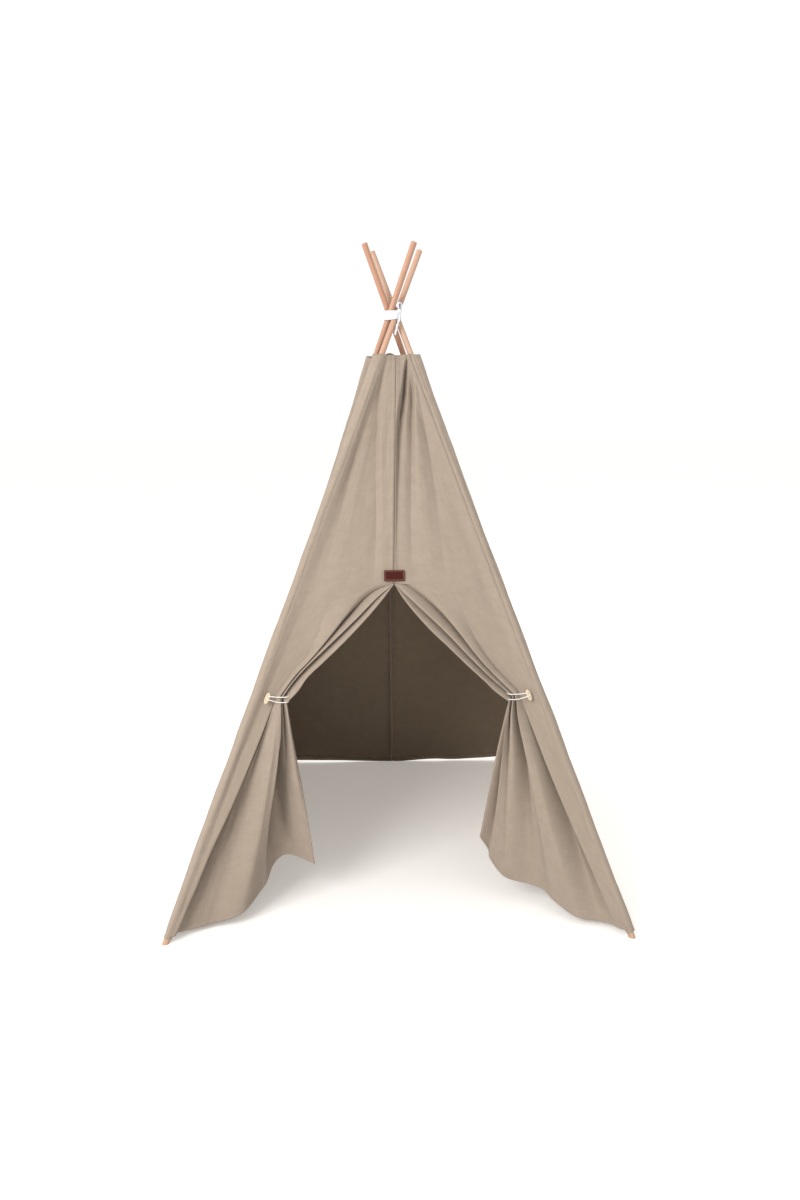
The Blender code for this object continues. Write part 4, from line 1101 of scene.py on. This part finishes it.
class FrontHalf:
    """One half of the front wall. Places in its plane are (distance from the left, height) pairs."""

    def __init__(self, side):
        self.side = side
        self.way = -1.0 if side == "left" else 1.0
        self.corner = "front_" + side
        self.neighbour = "front_right" if side == "left" else "front_left"
        self.normal = outward("front_left", "front_right")
        self.apex = self.in_plane(self.middle(DOOR_APEX))
        self.gather = self.in_plane(self.gather_centre())
        self.chord = self.gather - self.apex
        self.above = Vector((self.chord.y * -self.way, self.chord.x * self.way)).normalized()
        if self.above.y < 0.0:
            self.above = -self.above
        slope = (PIVOTS[self.corner] - FEET[self.corner]).length / CROSSING_HEIGHT
        door_length = (DOOR_APEX - GATHER_HEIGHT) * slope
        self.gather_row_height = DOOR_APEX - math.hypot(door_length, abs(self.gather.x))

    def in_plane(self, point):
        return Vector((point.x, point.z))

    def wall_at(self, place, out=0.0):
        """Point of the front wall at an (x, height) place, moved out by a distance."""
        start = pole_point("front_left", place[1])
        end = pole_point("front_right", place[1])
        share = (place[0] - start.x) / (end.x - start.x)
        return start.lerp(end, share) + self.normal * out

    def middle(self, height):
        start = seam_point("front_left", "front_right", height)
        end = seam_point("front_right", "front_left", height)
        return start.lerp(end, SEAM_PLACE_SHARE)

    def gather_centre(self):
        seam = seam_point(self.corner, self.neighbour, GATHER_HEIGHT)
        inward = (self.middle(GATHER_HEIGHT) - seam).normalized()
        return seam + inward * GATHER_INSET

    def columns(self):
        """Columns from the sleeve to the middle seam, and the share where the panel's soft crease starts."""
        start = seam_point(self.corner, self.neighbour, DOOR_APEX)
        width = (self.middle(DOOR_APEX) - start).length
        strip = abs(self.crease("panel", 0.0).x - start.x) / width
        anchors = [(0.0, EDGE_OFFSETS), (strip, (0.0,)), (1.0, [-offset for offset in SEAM_OFFSETS[::-1]])]
        return column_places(anchors, (STRIP_COLUMNS, PANEL_COLUMNS)), strip

    def above_door(self, share, offset, height):
        """Point of the closed front, at a share of the way from the sleeve to the seam plus metres."""
        start, end = seam_point(self.corner, self.neighbour, height), self.middle(height)
        width = (end - start).length
        across = min(share + offset / width, 1.0)
        if self.side == "left":
            place = SEAM_PLACE_SHARE * across
        else:
            place = 1.0 - (1.0 - SEAM_PLACE_SHARE) * across
        folds = [smooth_curve(rows, CANVAS_TOP - height) for rows in TOP_FOLDS_MM]
        out = fold_depth(folds, place, 0.8) * 0.001
        out += self.slack(across, height, 0.0) * smooth_step((CANVAS_TOP - height) * 6.0)
        out *= smooth_step(across * width / CALM_REACH)
        edge = across * width
        out += edge_relief(edge)
        out += seam_relief((1.0 - across) * width) + hem_relief(CANVAS_TOP - height)
        return start.lerp(end, across) + self.normal * out + self.shoulder(edge)

    def shoulder(self, reach):
        return shoulder(reach, self.normal, Vector((self.way, 0.0, 0.0)))

    def slack(self, across, height, part):
        """Ripples of the panel, which die out towards the gather."""
        return cloth_ripple(across * 0.5, height, 4.0 * self.way) * (1.0 - smooth_step(part / 0.5))

    def crease(self, name, part):
        """Place in the plane of a crease at a share of the way to the gather."""
        start = self.apex.copy()
        if name == "panel":
            start.x += self.way * PANEL_CREASE_START
        offset = smooth_curve(CREASES_MM[self.side][name], part) * 0.001
        return start.lerp(self.gather, part) + self.above * offset

    def relief(self, name, part):
        return smooth_curve(RELIEF_MM[name], part) * 0.001

    def overhang(self, out, share=PLEAT_LEAN_SHARE):
        """Shift in space that lets the outer side of a pleat hang down over its crease."""
        down = Vector((-self.above.x, 0.0, -self.above.y))
        return down * out * share

    def to_gather(self, part):
        """A row between the door's top and the gather, as (panel points, pleat points)."""
        panel = self.crease("panel", part)
        first = self.crease("first", part)
        second = self.crease("second", part)
        edge = self.crease("edge", part)
        sleeve_height = DOOR_APEX + (self.gather_row_height - DOOR_APEX) * part
        start = seam_point(self.corner, self.neighbour, sleeve_height)
        panel_point = self.wall_at(panel, self.relief("panel", part))
        first_out = self.relief("first", part)
        first_point = self.wall_at(first)
        columns, strip = self.columns()
        strip_width = (panel_point - start).length
        panel_width = max((first_point - panel_point).length, PANEL_LEAST_WIDTH)
        points = []
        for share, offset in columns:
            if share <= strip:
                place = share / strip + offset / strip_width
                drop = -STRIP_DROP * math.sin(math.pi * place) * math.sin(math.pi * part)
                edge_reach = place * strip_width
                slack = self.slack(share, sleeve_height, part) * smooth_step(edge_reach / CALM_REACH)
                out = drop + edge_relief(edge_reach) + slack
                points.append(start.lerp(panel_point, place) + self.normal * out + self.shoulder(edge_reach))
                continue
            place = min((share - strip) / (1.0 - strip) + offset / panel_width, 1.0)
            ridge = self.relief("panel_ridge", part) - self.relief("panel", part)
            depths = ((0.0, 0.0), (PANEL_RIDGE_PLACE, ridge), (1.0, 0.0))
            out = fold_depth(depths, place, smooth_step(part * 1.5))
            lean = self.overhang(out * smooth_step(place * 1.6), PLEAT_LEAN_SHARE * smooth_step(part * 3.0))
            out += self.slack(share, DOOR_APEX - 0.25 * part, part)
            drop = first_out * place ** PANEL_DROP_POWER
            spot = panel_point.lerp(first_point, place) + self.normal * (out + drop)
            points.append(spot + lean + self.overhang(drop))
        pleats = []
        depths = [(place, self.relief(name, part)) for place, name in zip(PLEAT_PLACES, PLEAT_NAMES)]
        for step in range(PLEAT_COLUMNS + 1):
            place = step / PLEAT_COLUMNS
            spot = first.lerp(second, 2.0 * place) if place < 0.5 else second.lerp(edge, 2.0 * place - 1.0)
            out = fold_depth(depths, place)
            reach = (edge - spot).length
            turned = HEM_LIFT * smooth_step((HEM_WIDTH * 0.7 - reach) / 0.0012) * smooth_step(part * 6.0)
            pleats.append(self.wall_at(spot, out + turned) + self.overhang(out))
        return points, pleats

    def at_hem(self, across):
        foot = seam_point(self.corner, self.neighbour, HEM_HEIGHT)
        gather = self.gather_centre()
        share_x, share_y, share_z = smooth_curve(HEM_SHARES[self.side], across)
        return Vector((
            foot.x + (gather.x - foot.x) * share_x,
            foot.y + (gather.y - foot.y) * share_y,
            HEM_HEIGHT + GATHER_HEIGHT * share_z,
        ))

    def below_gather(self, top, across, part, length):
        """Point of the hanging flap below a point of the gather, at a share of the way to the hem."""
        end = self.at_hem(across)
        chord = (self.at_hem(1.0) - self.at_hem(0.0)).normalized()
        facing = Vector((chord.y, -chord.x, 0.0)).normalized()
        if facing.y > 0.0:
            facing = -facing
        folds = [smooth_curve(rows, part) for rows in FLAP_FOLDS_MM[self.side]]
        depth = fold_depth(folds, across, 0.75 * (1.0 - smooth_step(part))) * 0.001
        lean = chord * depth * FLAP_LEAN_SHARE * (1.0 - 0.6 * part)
        upright = noise.noise(Vector((across * 14.0 + self.way, part * 3.0, 2.0)))
        level = noise.noise(Vector((across * 5.0 + self.way, part * 9.0, 7.0)))
        wrinkle = upright * UPRIGHT_WRINKLE * math.sin(math.pi * part) + level * LEVEL_WRINKLE * part
        trim = hem_relief((1.0 - part) * length)
        trim += HEM_LIFT * smooth_step((across - FREE_EDGE_START) / 0.003)
        end += self.shoulder(across * (self.at_hem(1.0) - self.at_hem(0.0)).length)
        return top.lerp(end, part) + facing * (depth + wrinkle + trim) + lean

    def grids(self):
        columns, strip = self.columns()
        heights = [CANVAS_TOP - rise for rise in HEM_RISES[::-1]]
        first = heights[-1]
        heights += [first + (DOOR_APEX - first) * row / ROWS_ABOVE_DOOR for row in range(1, ROWS_ABOVE_DOOR)]
        above = [[self.above_door(share, offset, height) for share, offset in columns] for height in heights]
        panel_rows, pleat_rows = [], []
        for row in range(ROWS_TO_GATHER + 1):
            panel, pleats = self.to_gather(row / ROWS_TO_GATHER)
            panel_rows.append(panel)
            pleat_rows.append(pleats)
        last = panel_rows[-1] + pleat_rows[-1][1:]
        shares = self.cloth_shares(columns, strip)
        length = (self.at_hem(0.5) - last[len(last) // 2]).length
        parts = [row / ROWS_BELOW_GATHER for row in range(1, ROWS_BELOW_GATHER - 3)]
        parts += [1.0 - rise / length for rise in HEM_RISES]
        for part in parts:
            line = [self.below_gather(top, across, part, length) for top, across in zip(last, shares)]
            panel_rows.append(line[: len(columns)])
            pleat_rows.append(line[len(columns) - 1:])
        return above + panel_rows, pleat_rows, columns, len(above)

    def cloth_shares(self, columns, strip):
        """How far along the cloth each column lies, with the bunched columns sharing most of it."""
        outer = [(share + offset / 0.5) / strip * OUTER_CLOTH_SHARE
                 for share, offset in columns if share <= strip]
        rest = len(columns) - len(outer) + PLEAT_COLUMNS
        outer[-1] = OUTER_CLOTH_SHARE
        bunched = 1.0 - OUTER_CLOTH_SHARE
        return outer + [OUTER_CLOTH_SHARE + bunched * step / rest for step in range(1, rest + 1)]


def add_front_half(side):
    """One front panel with its drawn back flap as a single sheet, and its stitches."""
    half = FrontHalf(side)
    panel, pleats, columns, above_rows = half.grids()
    panel_places = flat_places(panel)
    shift = [row[-1] for row in panel_places[-len(pleats):]]
    pleat_places = []
    for (across, down), row in zip(shift, pleats):
        pleat_places.append([(across + along, down) for along in arc_lengths(row)])
    cloth = cloth_from_grids("cover_front_" + side, [(panel, panel_places), (pleats, pleat_places)], CANVAS)
    apply_modifiers(cloth)
    edge = [index for index, (_, offset) in enumerate(columns) if abs(offset - STITCH_INSET) < 1e-6][0]
    seam = [index for index, (_, offset) in enumerate(columns) if abs(offset + STITCH_INSET) < 1e-6][-1]
    top_row = HEM_RISES[::-1].index(HEM_STITCH_RISE)
    lines = [
        raised(panel, [(row, edge) for row in range(above_rows + ROWS_TO_GATHER)], half.normal),
        raised(panel, [(row, seam) for row in range(above_rows)], half.normal),
        raised(panel, [(top_row, column) for column in range(len(columns))], half.normal),
    ]
    hem_row = -len(HEM_RISES) + HEM_RISES.index(HEM_STITCH_RISE)
    hem = panel[hem_row] + pleats[hem_row][1:]
    below = panel[hem_row - 1] + pleats[hem_row - 1][1:]
    hem_line = []
    for index, point in enumerate(hem):
        along = hem[min(index + 1, len(hem) - 1)] - hem[max(index - 1, 0)]
        normal = along.cross(below[index] - point).normalized()
        if normal.y > 0.0 and abs(normal.y) > 0.2:
            normal = -normal
        hem_line.append((point + normal * (STITCH_RADIUS + CANVAS_THICKNESS / 2), normal))
    stitches = add_stitches("stitches_front_" + side, lines + [hem_line], "front_wall")
    base, top_width = (abs(half.middle(height).x - seam_point(half.corner, half.neighbour, height).x)
                       for height in (HEM_HEIGHT, CANVAS_TOP))
    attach(cloth, "front_wall")
    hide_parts("front_panel_" + side)
    return [cloth, stitches]


# Toggles and tie-back cords


def toggle_frame(side):
    """Centre of a toggle and its axes: along its length, across it, and outward from the wall."""
    corner = "front_" + side
    neighbour = "front_right" if side == "left" else "front_left"
    axis_point = pole_point(corner, GATHER_HEIGHT)
    outward_axis = outward("front_left", "front_right")
    inward = (pole_point(neighbour, GATHER_HEIGHT) - axis_point).normalized()
    centre = axis_point + inward * TOGGLE_INSET + outward_axis * TOGGLE_STAND_OFF
    length_axis = pole_direction(corner)
    length_axis = (length_axis - outward_axis * length_axis.dot(outward_axis)).normalized()
    return centre, length_axis, outward_axis.cross(length_axis).normalized(), outward_axis


def frame_matrix(centre, length_axis, across_axis, outward_axis):
    """Placing with X across, Y along the length and Z outward."""
    turn = Matrix((across_axis, length_axis, outward_axis)).transposed().to_4x4()
    return Matrix.Translation(centre) @ turn


DRILL_SIDES = 24
SINK_DEPTH = 0.0006
SINK_OVERRUN = 0.0001


def add_toggle(side):
    """Crowned wooden toggle, pointed oval in plan, with two countersunk holes for the cord."""
    builder = bmesh.new()
    rings = []
    steps, sides = 30, 28
    for step in range(1, steps):
        along = -math.cos(math.pi * step / steps)
        wide = TOGGLE_WIDTH / 2 * (1.0 - abs(along) ** 2.4) ** 0.55
        thick = TOGGLE_THICKNESS / 2 * (1.0 - abs(along) ** 5.0) ** 0.5
        ring = [(squared(math.cos(turn), 0.75) * wide, squared(math.sin(turn), 0.75) * thick)
                for turn in ring_places(sides)]
        rings.append([builder.verts.new((x, along * TOGGLE_LENGTH / 2, z)) for x, z in ring])
    join_rings(builder, rings)
    name = "toggle_wood_" + side
    toggle = make_object(name, mesh_of(name, builder, 60.0), TOGGLE_WOOD)
    cutters = []
    for way in (-1, 1):
        drill = bmesh.new()
        mouth, face = TOGGLE_HOLE * 0.9, TOGGLE_THICKNESS / 2
        upper = ((TOGGLE_HOLE / 2, face - SINK_DEPTH), (mouth, face + SINK_OVERRUN),
                 (mouth, TOGGLE_THICKNESS))
        profile = [(reach, -rise) for reach, rise in upper[::-1]] + list(upper)
        shift = way * TOGGLE_HOLE_SPACING / 2
        join_rings(drill, [turned_ring(drill, reach, rise, DRILL_SIDES, shift) for reach, rise in profile])
        cutter = make_object(name + "_drill", mesh_of(name + "_drill", drill), TOGGLE_WOOD)
        hole = toggle.modifiers.new("hole", "BOOLEAN")
        hole.operation = "DIFFERENCE"
        hole.object = cutter
        cutters.append(cutter)
    apply_modifiers(toggle)
    for cutter in cutters:
        bpy.data.objects.remove(cutter)
    set_grain(toggle.data, lambda spot: spot.xzy)
    toggle.data.transform(frame_matrix(*toggle_frame(side)))
    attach(toggle, "toggle_" + side)
    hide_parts("toggle_" + side)


def strand_points(side, way):
    """From behind the toggle out at one of its holes, across the bunched flap and round behind it."""
    half = FrontHalf(side)
    centre, length_axis, _, outward_axis = toggle_frame(side)
    gather = half.gather_centre()
    inward = (half.middle(GATHER_HEIGHT) - gather).normalized()
    hole = centre + length_axis * way * TOGGLE_HOLE_SPACING / 2
    face = outward_axis * (TOGGLE_THICKNESS / 2 + CORD_DIAMETER / 2 + FIT_GAP)
    sideways = gather - hole
    sideways = (sideways - outward_axis * sideways.dot(outward_axis)).normalized()
    points = [hole - face - length_axis * way * TOGGLE_HOLE / 2, hole - face * 0.6, hole, hole + face * 0.78]
    points.append(hole + face * 1.15 + sideways * (TOGGLE_WIDTH + CORD_DIAMETER) / 2)
    level = Vector((0.0, 0.0, way * CORD_STRAND_SPREAD / 2))
    clear = CORD_DIAMETER / 2 + CANVAS_THICKNESS / 2 + CORD_SIDE_GAP
    half_width, half_depth = GATHER_WIDTH / 2 + clear, GATHER_DEPTH / 2 + clear
    for degrees in (-110, -75, -45, -15, 15, 45, 75, 105):
        turn = math.radians(degrees)
        wide, deep = squared(math.cos(turn), 0.5), squared(math.sin(turn), 0.5)
        points.append(gather + level + inward * half_width * wide + Vector((0.0, half_depth * deep, 0.0)))
    return points


def add_tieback_cord(side):
    """Two-ply cotton cord: in at a toggle's hole, round the bunched flap and back out at the other hole."""
    half = FrontHalf(side)
    gather = half.gather_centre()
    seam = seam_point(half.corner, half.neighbour, GATHER_HEIGHT)
    turn_back = gather.lerp(seam, CORD_TURN_BACK_SHARE) + Vector((0.0, GATHER_DEPTH * 0.9, 0.0))
    path = smooth_path(strand_points(side, 1) + [turn_back] + strand_points(side, -1)[::-1], 12)
    length = arc_lengths(path)[-1]

    def section(part, turn):
        ply = 1.0 + 0.17 * math.cos(2.0 * turn + 2.0 * math.pi * part * length / CORD_TWIST_PITCH)
        return tuple(0.46 * CORD_DIAMETER * ply * way for way in (math.cos(turn), math.sin(turn)))

    cord = tube_mesh("cord_" + side, path, section, 12, CORD)
    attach(cord, "front_wall")
    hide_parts("tieback_cord_" + side)
    return cord


# Tape round the crossing

HULL_ARC_STEPS = 7
HULL_FLAT_STEPS = 6
TAPE_COLUMNS = 9

# How much narrower one turn is than TAPE_WIDTH, how far the turns stray up and down, and the first turn's
# gap to the wood
TAPE_DRAW_IN = 0.006
TAPE_STRAY = 0.0026
TAPE_GAP = 0.0003

# Knot, from its middle: outward, along the bundle's side and up
KNOT_REACHES = (0.0048, 0.0070, 0.0076)
LOOP_STEPS = 32
LOOP_HALF_WIDTH = 0.0052
LOOP_NARROWING = 0.0014
LOOP_HALF_THICKNESS = 0.0019
TAIL_STEPS = 60
TAIL_TOP = (-0.0037, 0.0037 + 0.0046, 0.0)
TAIL_HALF_THICKNESS = 0.0023


def bundle_line(rise, clearance):
    """Closed line drawn tight round the four poles at a height above their crossing."""
    spots = [pole_point(corner, CROSSING_HEIGHT + rise) for corner in CORNERS]
    radius = POLE_DIAMETER / 2 / pole_direction("front_left").z + clearance
    corners = []
    for index, spot in enumerate(spots):
        into, out = spot - spots[index - 1], spots[(index + 1) % 4] - spot
        first, last = (math.atan2(-way.x, way.y) for way in (into, out))
        while last < first:
            last += 2.0 * math.pi
        turns = [first + (last - first) * step / HULL_ARC_STEPS for step in range(HULL_ARC_STEPS + 1)]
        corners.append([spot + Vector((math.cos(turn), math.sin(turn), 0.0)) * radius for turn in turns])
    line = []
    for index, arc in enumerate(corners):
        ahead = corners[(index + 1) % 4][0]
        line += arc + [arc[-1].lerp(ahead, s / HULL_FLAT_STEPS) for s in range(1, HULL_FLAT_STEPS)]
    return line


def add_tape():
    """Cotton tape wound three times round the bundle, each turn a little askew over the last."""
    around = 4 * (HULL_ARC_STEPS + HULL_FLAT_STEPS)
    width = TAPE_WIDTH - TAPE_DRAW_IN
    rows = []
    for step in range(int(around * TAPE_TURNS) + 1):
        turn = step / around
        middle = TAPE_STRAY * math.sin(2.0 * math.pi * turn * 0.92 + 0.9)
        row = []
        for column in range(TAPE_COLUMNS):
            place = column / (TAPE_COLUMNS - 1) - 0.5
            rise = middle + place * width
            pucker = 0.00012 * noise.noise(Vector((turn * 9.0, place * 5.0, 1.0)))
            clearance = TAPE_GAP + TAPE_THICKNESS / 2 + TAPE_TURN_STEP * turn + pucker
            line = bundle_line(rise, clearance)
            row.append(line[(step + HULL_ARC_STEPS // 2) % around])
        rows.append(row)
    tape = cloth_from_grids("tape_turns", [(rows, flat_places(rows))], TAPE, TAPE_THICKNESS)
    apply_modifiers(tape)
    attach(tape, "lashing")
    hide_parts("lashing_tape")


def knot_ways():
    """Outward from the bundle at the knot, and along the bundle's side there."""
    out = Vector((math.cos(KNOT_BEARING), math.sin(KNOT_BEARING), 0.0))
    return out, Vector((-out.y, out.x, 0.0))


def add_knot():
    """Lumpy half hitch of tape at the front right of the bundle."""
    low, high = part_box("lashing_knot")
    centre = (Vector(low) + Vector(high)) / 2
    builder = bmesh.new()
    bmesh.ops.create_uvsphere(builder, u_segments=56, v_segments=40, radius=1.0)
    out, along = knot_ways()
    for vertex in builder.verts:
        way = vertex.co.copy()
        turn = math.atan2(way.z, way.y)
        wrap = 0.10 * math.cos(5.0 * way.y + 2.2 * way.z) + 0.06 * math.cos(9.0 * way.z - 3.0 * way.y + 1.0)
        wrap += 0.08 * noise.noise(way * 2.3) + 0.03 * math.sin(6.0 * turn)
        size = 0.96 + wrap
        vertex.co = centre + out * way.x * KNOT_REACHES[0] * size + along * way.y * KNOT_REACHES[1] * size
        vertex.co.z += way.z * KNOT_REACHES[2] * size
    builder.loops.layers.uv.new("weave")
    knot = make_object("tape_knot", mesh_of("tape_knot", builder), TAPE)
    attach(knot, "lashing")
    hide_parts("lashing_knot")


def add_bow():
    """Folded loop of tape that stands on the knot, and the twisted end that hangs between the poles."""
    out, along = knot_ways()
    low, high = (Vector(corner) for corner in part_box("lashing_loop"))
    centre = Vector(((low.x + high.x) / 2, (low.y + high.y) / 2, high.z - LOOP_RISE / 2 - 0.001))
    path = []
    for step in range(LOOP_STEPS + 1):
        turn = LOOP_END + (math.pi - 2.0 * LOOP_END) * step / LOOP_STEPS
        side = along * LOOP_SPAN / 2 * math.cos(turn) * (1.0 - 0.25 * max(math.sin(turn), 0.0) ** 3)
        path.append(centre + side + Vector((0.0, 0.0, LOOP_RISE / 2 * math.sin(turn))))

    def ribbon(part, turn):
        wide = LOOP_HALF_WIDTH - LOOP_NARROWING * abs(2.0 * part - 1.0)
        fold = 1.0 + 0.15 * math.sin(9.0 * part + 1.0)
        return wide * fold * math.cos(turn), LOOP_HALF_THICKNESS * math.sin(turn)

    loop = tube_mesh("tape_loop", path, ribbon, 16, TAPE, up=along.cross(out))
    low, high = (Vector(corner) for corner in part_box("lashing_tail"))
    top = Vector((high.x, low.y, high.z)) + Vector(TAIL_TOP)
    drift = Vector((*TAIL_DRIFT, 0.0))
    path = []
    for step in range(TAIL_STEPS + 1):
        fall = Vector((0.0, 0.0, -TAIL_LENGTH * step / TAIL_STEPS))
        path.append(top + drift * smooth_step(step / TAIL_STEPS) + fall)

    def twisted(part, turn):
        spin = 2.0 * math.pi * TAIL_TURNS * part
        wide = TAIL_WIDTH / 2 * (1.0 - 0.25 * part)
        flat = wide * math.cos(turn)
        thin = TAIL_HALF_THICKNESS * math.sin(turn) * (1.0 - 0.35 * math.cos(2.0 * turn) ** 2)
        return flat * math.cos(spin) - thin * math.sin(spin), flat * math.sin(spin) + thin * math.cos(spin)

    tail = tube_mesh("tape_tail", path, twisted, 20, TAPE, up=(0.0, 1.0, 0.0))
    for piece, node in ((loop, "lashing_loop"), (tail, "lashing_tail")):
        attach(piece, "lashing")
        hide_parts(node)


# Label over the door

# Rings of the label: metres in from its edge, height as a share of its thickness, and material slot
LABEL_RINGS = ((0.0, -0.5, 0), (0.0, 0.32, 0), (0.0002, 0.46, 0), (0.0005, 0.5, 0), (0.0020, 0.5, 0),
               (0.0022, 0.66, 0), (0.0026, 0.70, 1), (0.0030, 0.66, 1), (0.0032, 0.46, 0), (0.0060, 0.46, 0))


def rounded_rectangle(wide, high, radius, steps=6, flats=10):
    """Closed outline of a rectangle with round corners, as a list of 2-D points."""
    points = []
    for corner, (sx, sy) in enumerate(((1, 1), (-1, 1), (-1, -1), (1, -1))):
        middle = Vector((sx * (wide / 2 - radius), sy * (high / 2 - radius)))
        arc = [middle + Vector((math.cos(a), math.sin(a))) * radius
               for a in (math.radians(90.0 * corner + 90.0 * s / steps) for s in range(steps + 1))]
        points.append(arc)
    line = []
    for index, arc in enumerate(points):
        ahead = points[(index + 1) % 4][0]
        line += arc + [arc[-1].lerp(ahead, s / flats) for s in range(1, flats)]
    return line


def label_frame():
    """Place of the label, on the seam above the door's top."""
    height = DOOR_APEX + LABEL_LIFT
    half = FrontHalf("left")
    middle = half.middle(height)
    across_axis = (pole_point("front_right", height) - pole_point("front_left", height)).normalized()
    up_axis = (half.middle(height + LABEL_HEIGHT) - middle).normalized()
    outward_axis = across_axis.cross(up_axis).normalized()
    stand_off = CANVAS_THICKNESS / 2 + FIT_GAP + LABEL_THICKNESS / 2 + HEM_LIFT
    centre = middle + outward_axis * stand_off
    return frame_matrix(centre, outward_axis.cross(across_axis), across_axis, outward_axis)


def add_label():
    """Bare label of imitation leather with an embossed line inside its edge, sewn on all round."""
    builder = bmesh.new()
    rings = []
    for inset, lift, _ in LABEL_RINGS:
        radius = max(LABEL_CORNER - inset, 0.0004)
        line = rounded_rectangle(LABEL_WIDTH - 2 * inset, LABEL_HEIGHT - 2 * inset, radius)
        rings.append([builder.verts.new((p.x, p.y, lift * LABEL_THICKNESS)) for p in line])
    for (_, _, slot), band in zip(LABEL_RINGS[1:], join_rings(builder, rings)):
        for face in band:
            face.material_index = slot
    place = label_frame()
    label = make_object("label_patch", mesh_of("label_patch", builder, 30.0), LABEL)
    label.data.materials.append(LABEL_EDGE)
    label.data.transform(place)
    out = place.to_3x3() @ Vector((0.0, 0.0, 1.0))
    line = rounded_rectangle(LABEL_WIDTH - 0.0024, LABEL_HEIGHT - 0.0024, 0.0006)
    path = [(place @ Vector((p.x, p.y, 0.62 * LABEL_THICKNESS)), out) for p in line + line[:1]]
    thread = add_stitches("label_stitches", [path], "front_wall")
    thread.data.materials.clear()
    thread.data.materials.append(LABEL_THREAD)
    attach(label, "front_wall")
    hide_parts("door_label")


# Stage, light and camera

CAMERA_PLACE = (0.0, -2.351, 1.185)
CAMERA_PITCH = 12.03
CAMERA_ROLL = 0.3
CAMERA_LENS = 26.46
PICTURE_LONG_SIDE = 1200
PICTURE_SHIFT = 5.6
FLOOR_GLOW = 0.33
FLOOR_HALF_SIZE = 40.0
WORLD_LIGHT = 0.93
WORLD_SEEN = 1.05


def add_camera():
    data = bpy.data.cameras.new("camera")
    data.lens = CAMERA_LENS
    data.sensor_width = 36.0
    data.shift_x = PICTURE_SHIFT / PICTURE_LONG_SIDE
    data.clip_end = 50.0
    camera = bpy.data.objects.new("camera", data)
    bpy.context.scene.collection.objects.link(camera)
    camera.location = CAMERA_PLACE
    tilt = Matrix.Rotation(math.radians(90.0 - CAMERA_PITCH), 4, "X")
    roll = Matrix.Rotation(math.radians(-CAMERA_ROLL), 4, "Z")
    camera.matrix_world = Matrix.Translation(CAMERA_PLACE) @ tilt @ roll
    bpy.context.scene.camera = camera


def add_stage():
    """Wide pale floor, which looks as white as the light behind it."""
    material, tree, shader = new_material("studio_floor")
    place = add_node(tree, "ShaderNodeTexCoord").outputs["Object"]
    tone = noise_node(tree, place, 1.2, 2.0)
    tree.links.new(colour_ramp(tree, tone, ((0.0, (226, 224, 222)), (1.0, (232, 230, 228)))),
                   shader.inputs["Base Color"])
    set_surface(shader, Roughness=0.95, Specular_IOR_Level=0.1, Emission_Color=(1.0, 0.93, 0.86, 1.0))
    seen = add_node(tree, "ShaderNodeLightPath").outputs["Is Camera Ray"]
    tree.links.new(math_node(tree, "MULTIPLY", seen, FLOOR_GLOW), shader.inputs["Emission Strength"])
    builder = bmesh.new()
    bmesh.ops.create_grid(builder, x_segments=8, y_segments=8, size=FLOOR_HALF_SIZE)
    make_object("studio_floor", mesh_of("studio_floor", builder, 180.0), material)


def add_light(name, place, target, size, power, colour=(1.0, 1.0, 1.0)):
    data = bpy.data.lights.new(name, "AREA")
    data.shape = "RECTANGLE"
    data.size, data.size_y = size
    data.energy = power
    data.color = colour
    light = bpy.data.objects.new(name, data)
    bpy.context.scene.collection.objects.link(light)
    light.location = place
    light.rotation_euler = (Vector(target) - Vector(place)).to_track_quat("-Z", "Y").to_euler()


def add_world():
    """Even light from all round, behind a white background."""
    world = bpy.data.worlds.new("studio")
    bpy.context.scene.world = world
    world.use_nodes = True
    tree = world.node_tree
    background = tree.nodes["Background"]
    background.inputs["Color"].default_value = (1.0, 1.0, 1.0, 1.0)
    seen = tree.nodes.new("ShaderNodeLightPath").outputs["Is Camera Ray"]
    level = math_node(tree, "MULTIPLY_ADD", seen, WORLD_SEEN - WORLD_LIGHT, WORLD_LIGHT)
    tree.links.new(level, background.inputs["Strength"])


add_camera()
add_stage()
add_world()
bpy.context.scene.view_settings.view_transform = "Standard"
add_light("key", (-2.6, -3.4, 3.0), (0.0, 0.0, 0.7), (2.4, 2.4), 190.0, (1.0, 0.99, 0.98))
add_light("rim", (2.8, 3.6, 2.6), (0.0, 0.0, 0.7), (1.6, 1.6), 70.0, (1.0, 0.98, 0.96))

for corner in CORNERS:
    add_rods(corner)
    add_sleeve(corner)
    for part in ("lower", "upper"):
        coupler = frame["nodes"]["coupler_{}_{}".format(corner, part)]
        coupler.data.materials.clear()
        coupler.data.materials.append(STEEL)

for name, corner, neighbour, seams, body, nodes, seed, hem, folds in (
    ("cover_side_left", "back_left", "front_left", (), "left_wall",
     ["side_panel_left"], 2.7, SIDE_HEM_MM, SIDE_FOLDS),
    ("cover_side_right", "front_right", "back_right", (), "right_wall",
     ["side_panel_right"], 5.9, SIDE_HEM_MM, SIDE_FOLDS),
    ("cover_back", "back_right", "back_left", (0.5,), "back_wall",
     ["back_panel_left", "back_panel_right"], 9.1, BACK_HEM_MM, BACK_FOLDS),
):
    for piece in add_wall(name, corner, neighbour, seams, body, nodes, seed, hem, folds):
        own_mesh(piece)
for side in ("left", "right"):
    add_toggle(side)
    for piece in add_front_half(side) + [add_tieback_cord(side)]:
        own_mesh(piece)
add_tape()
add_knot()
add_bow()
add_label()
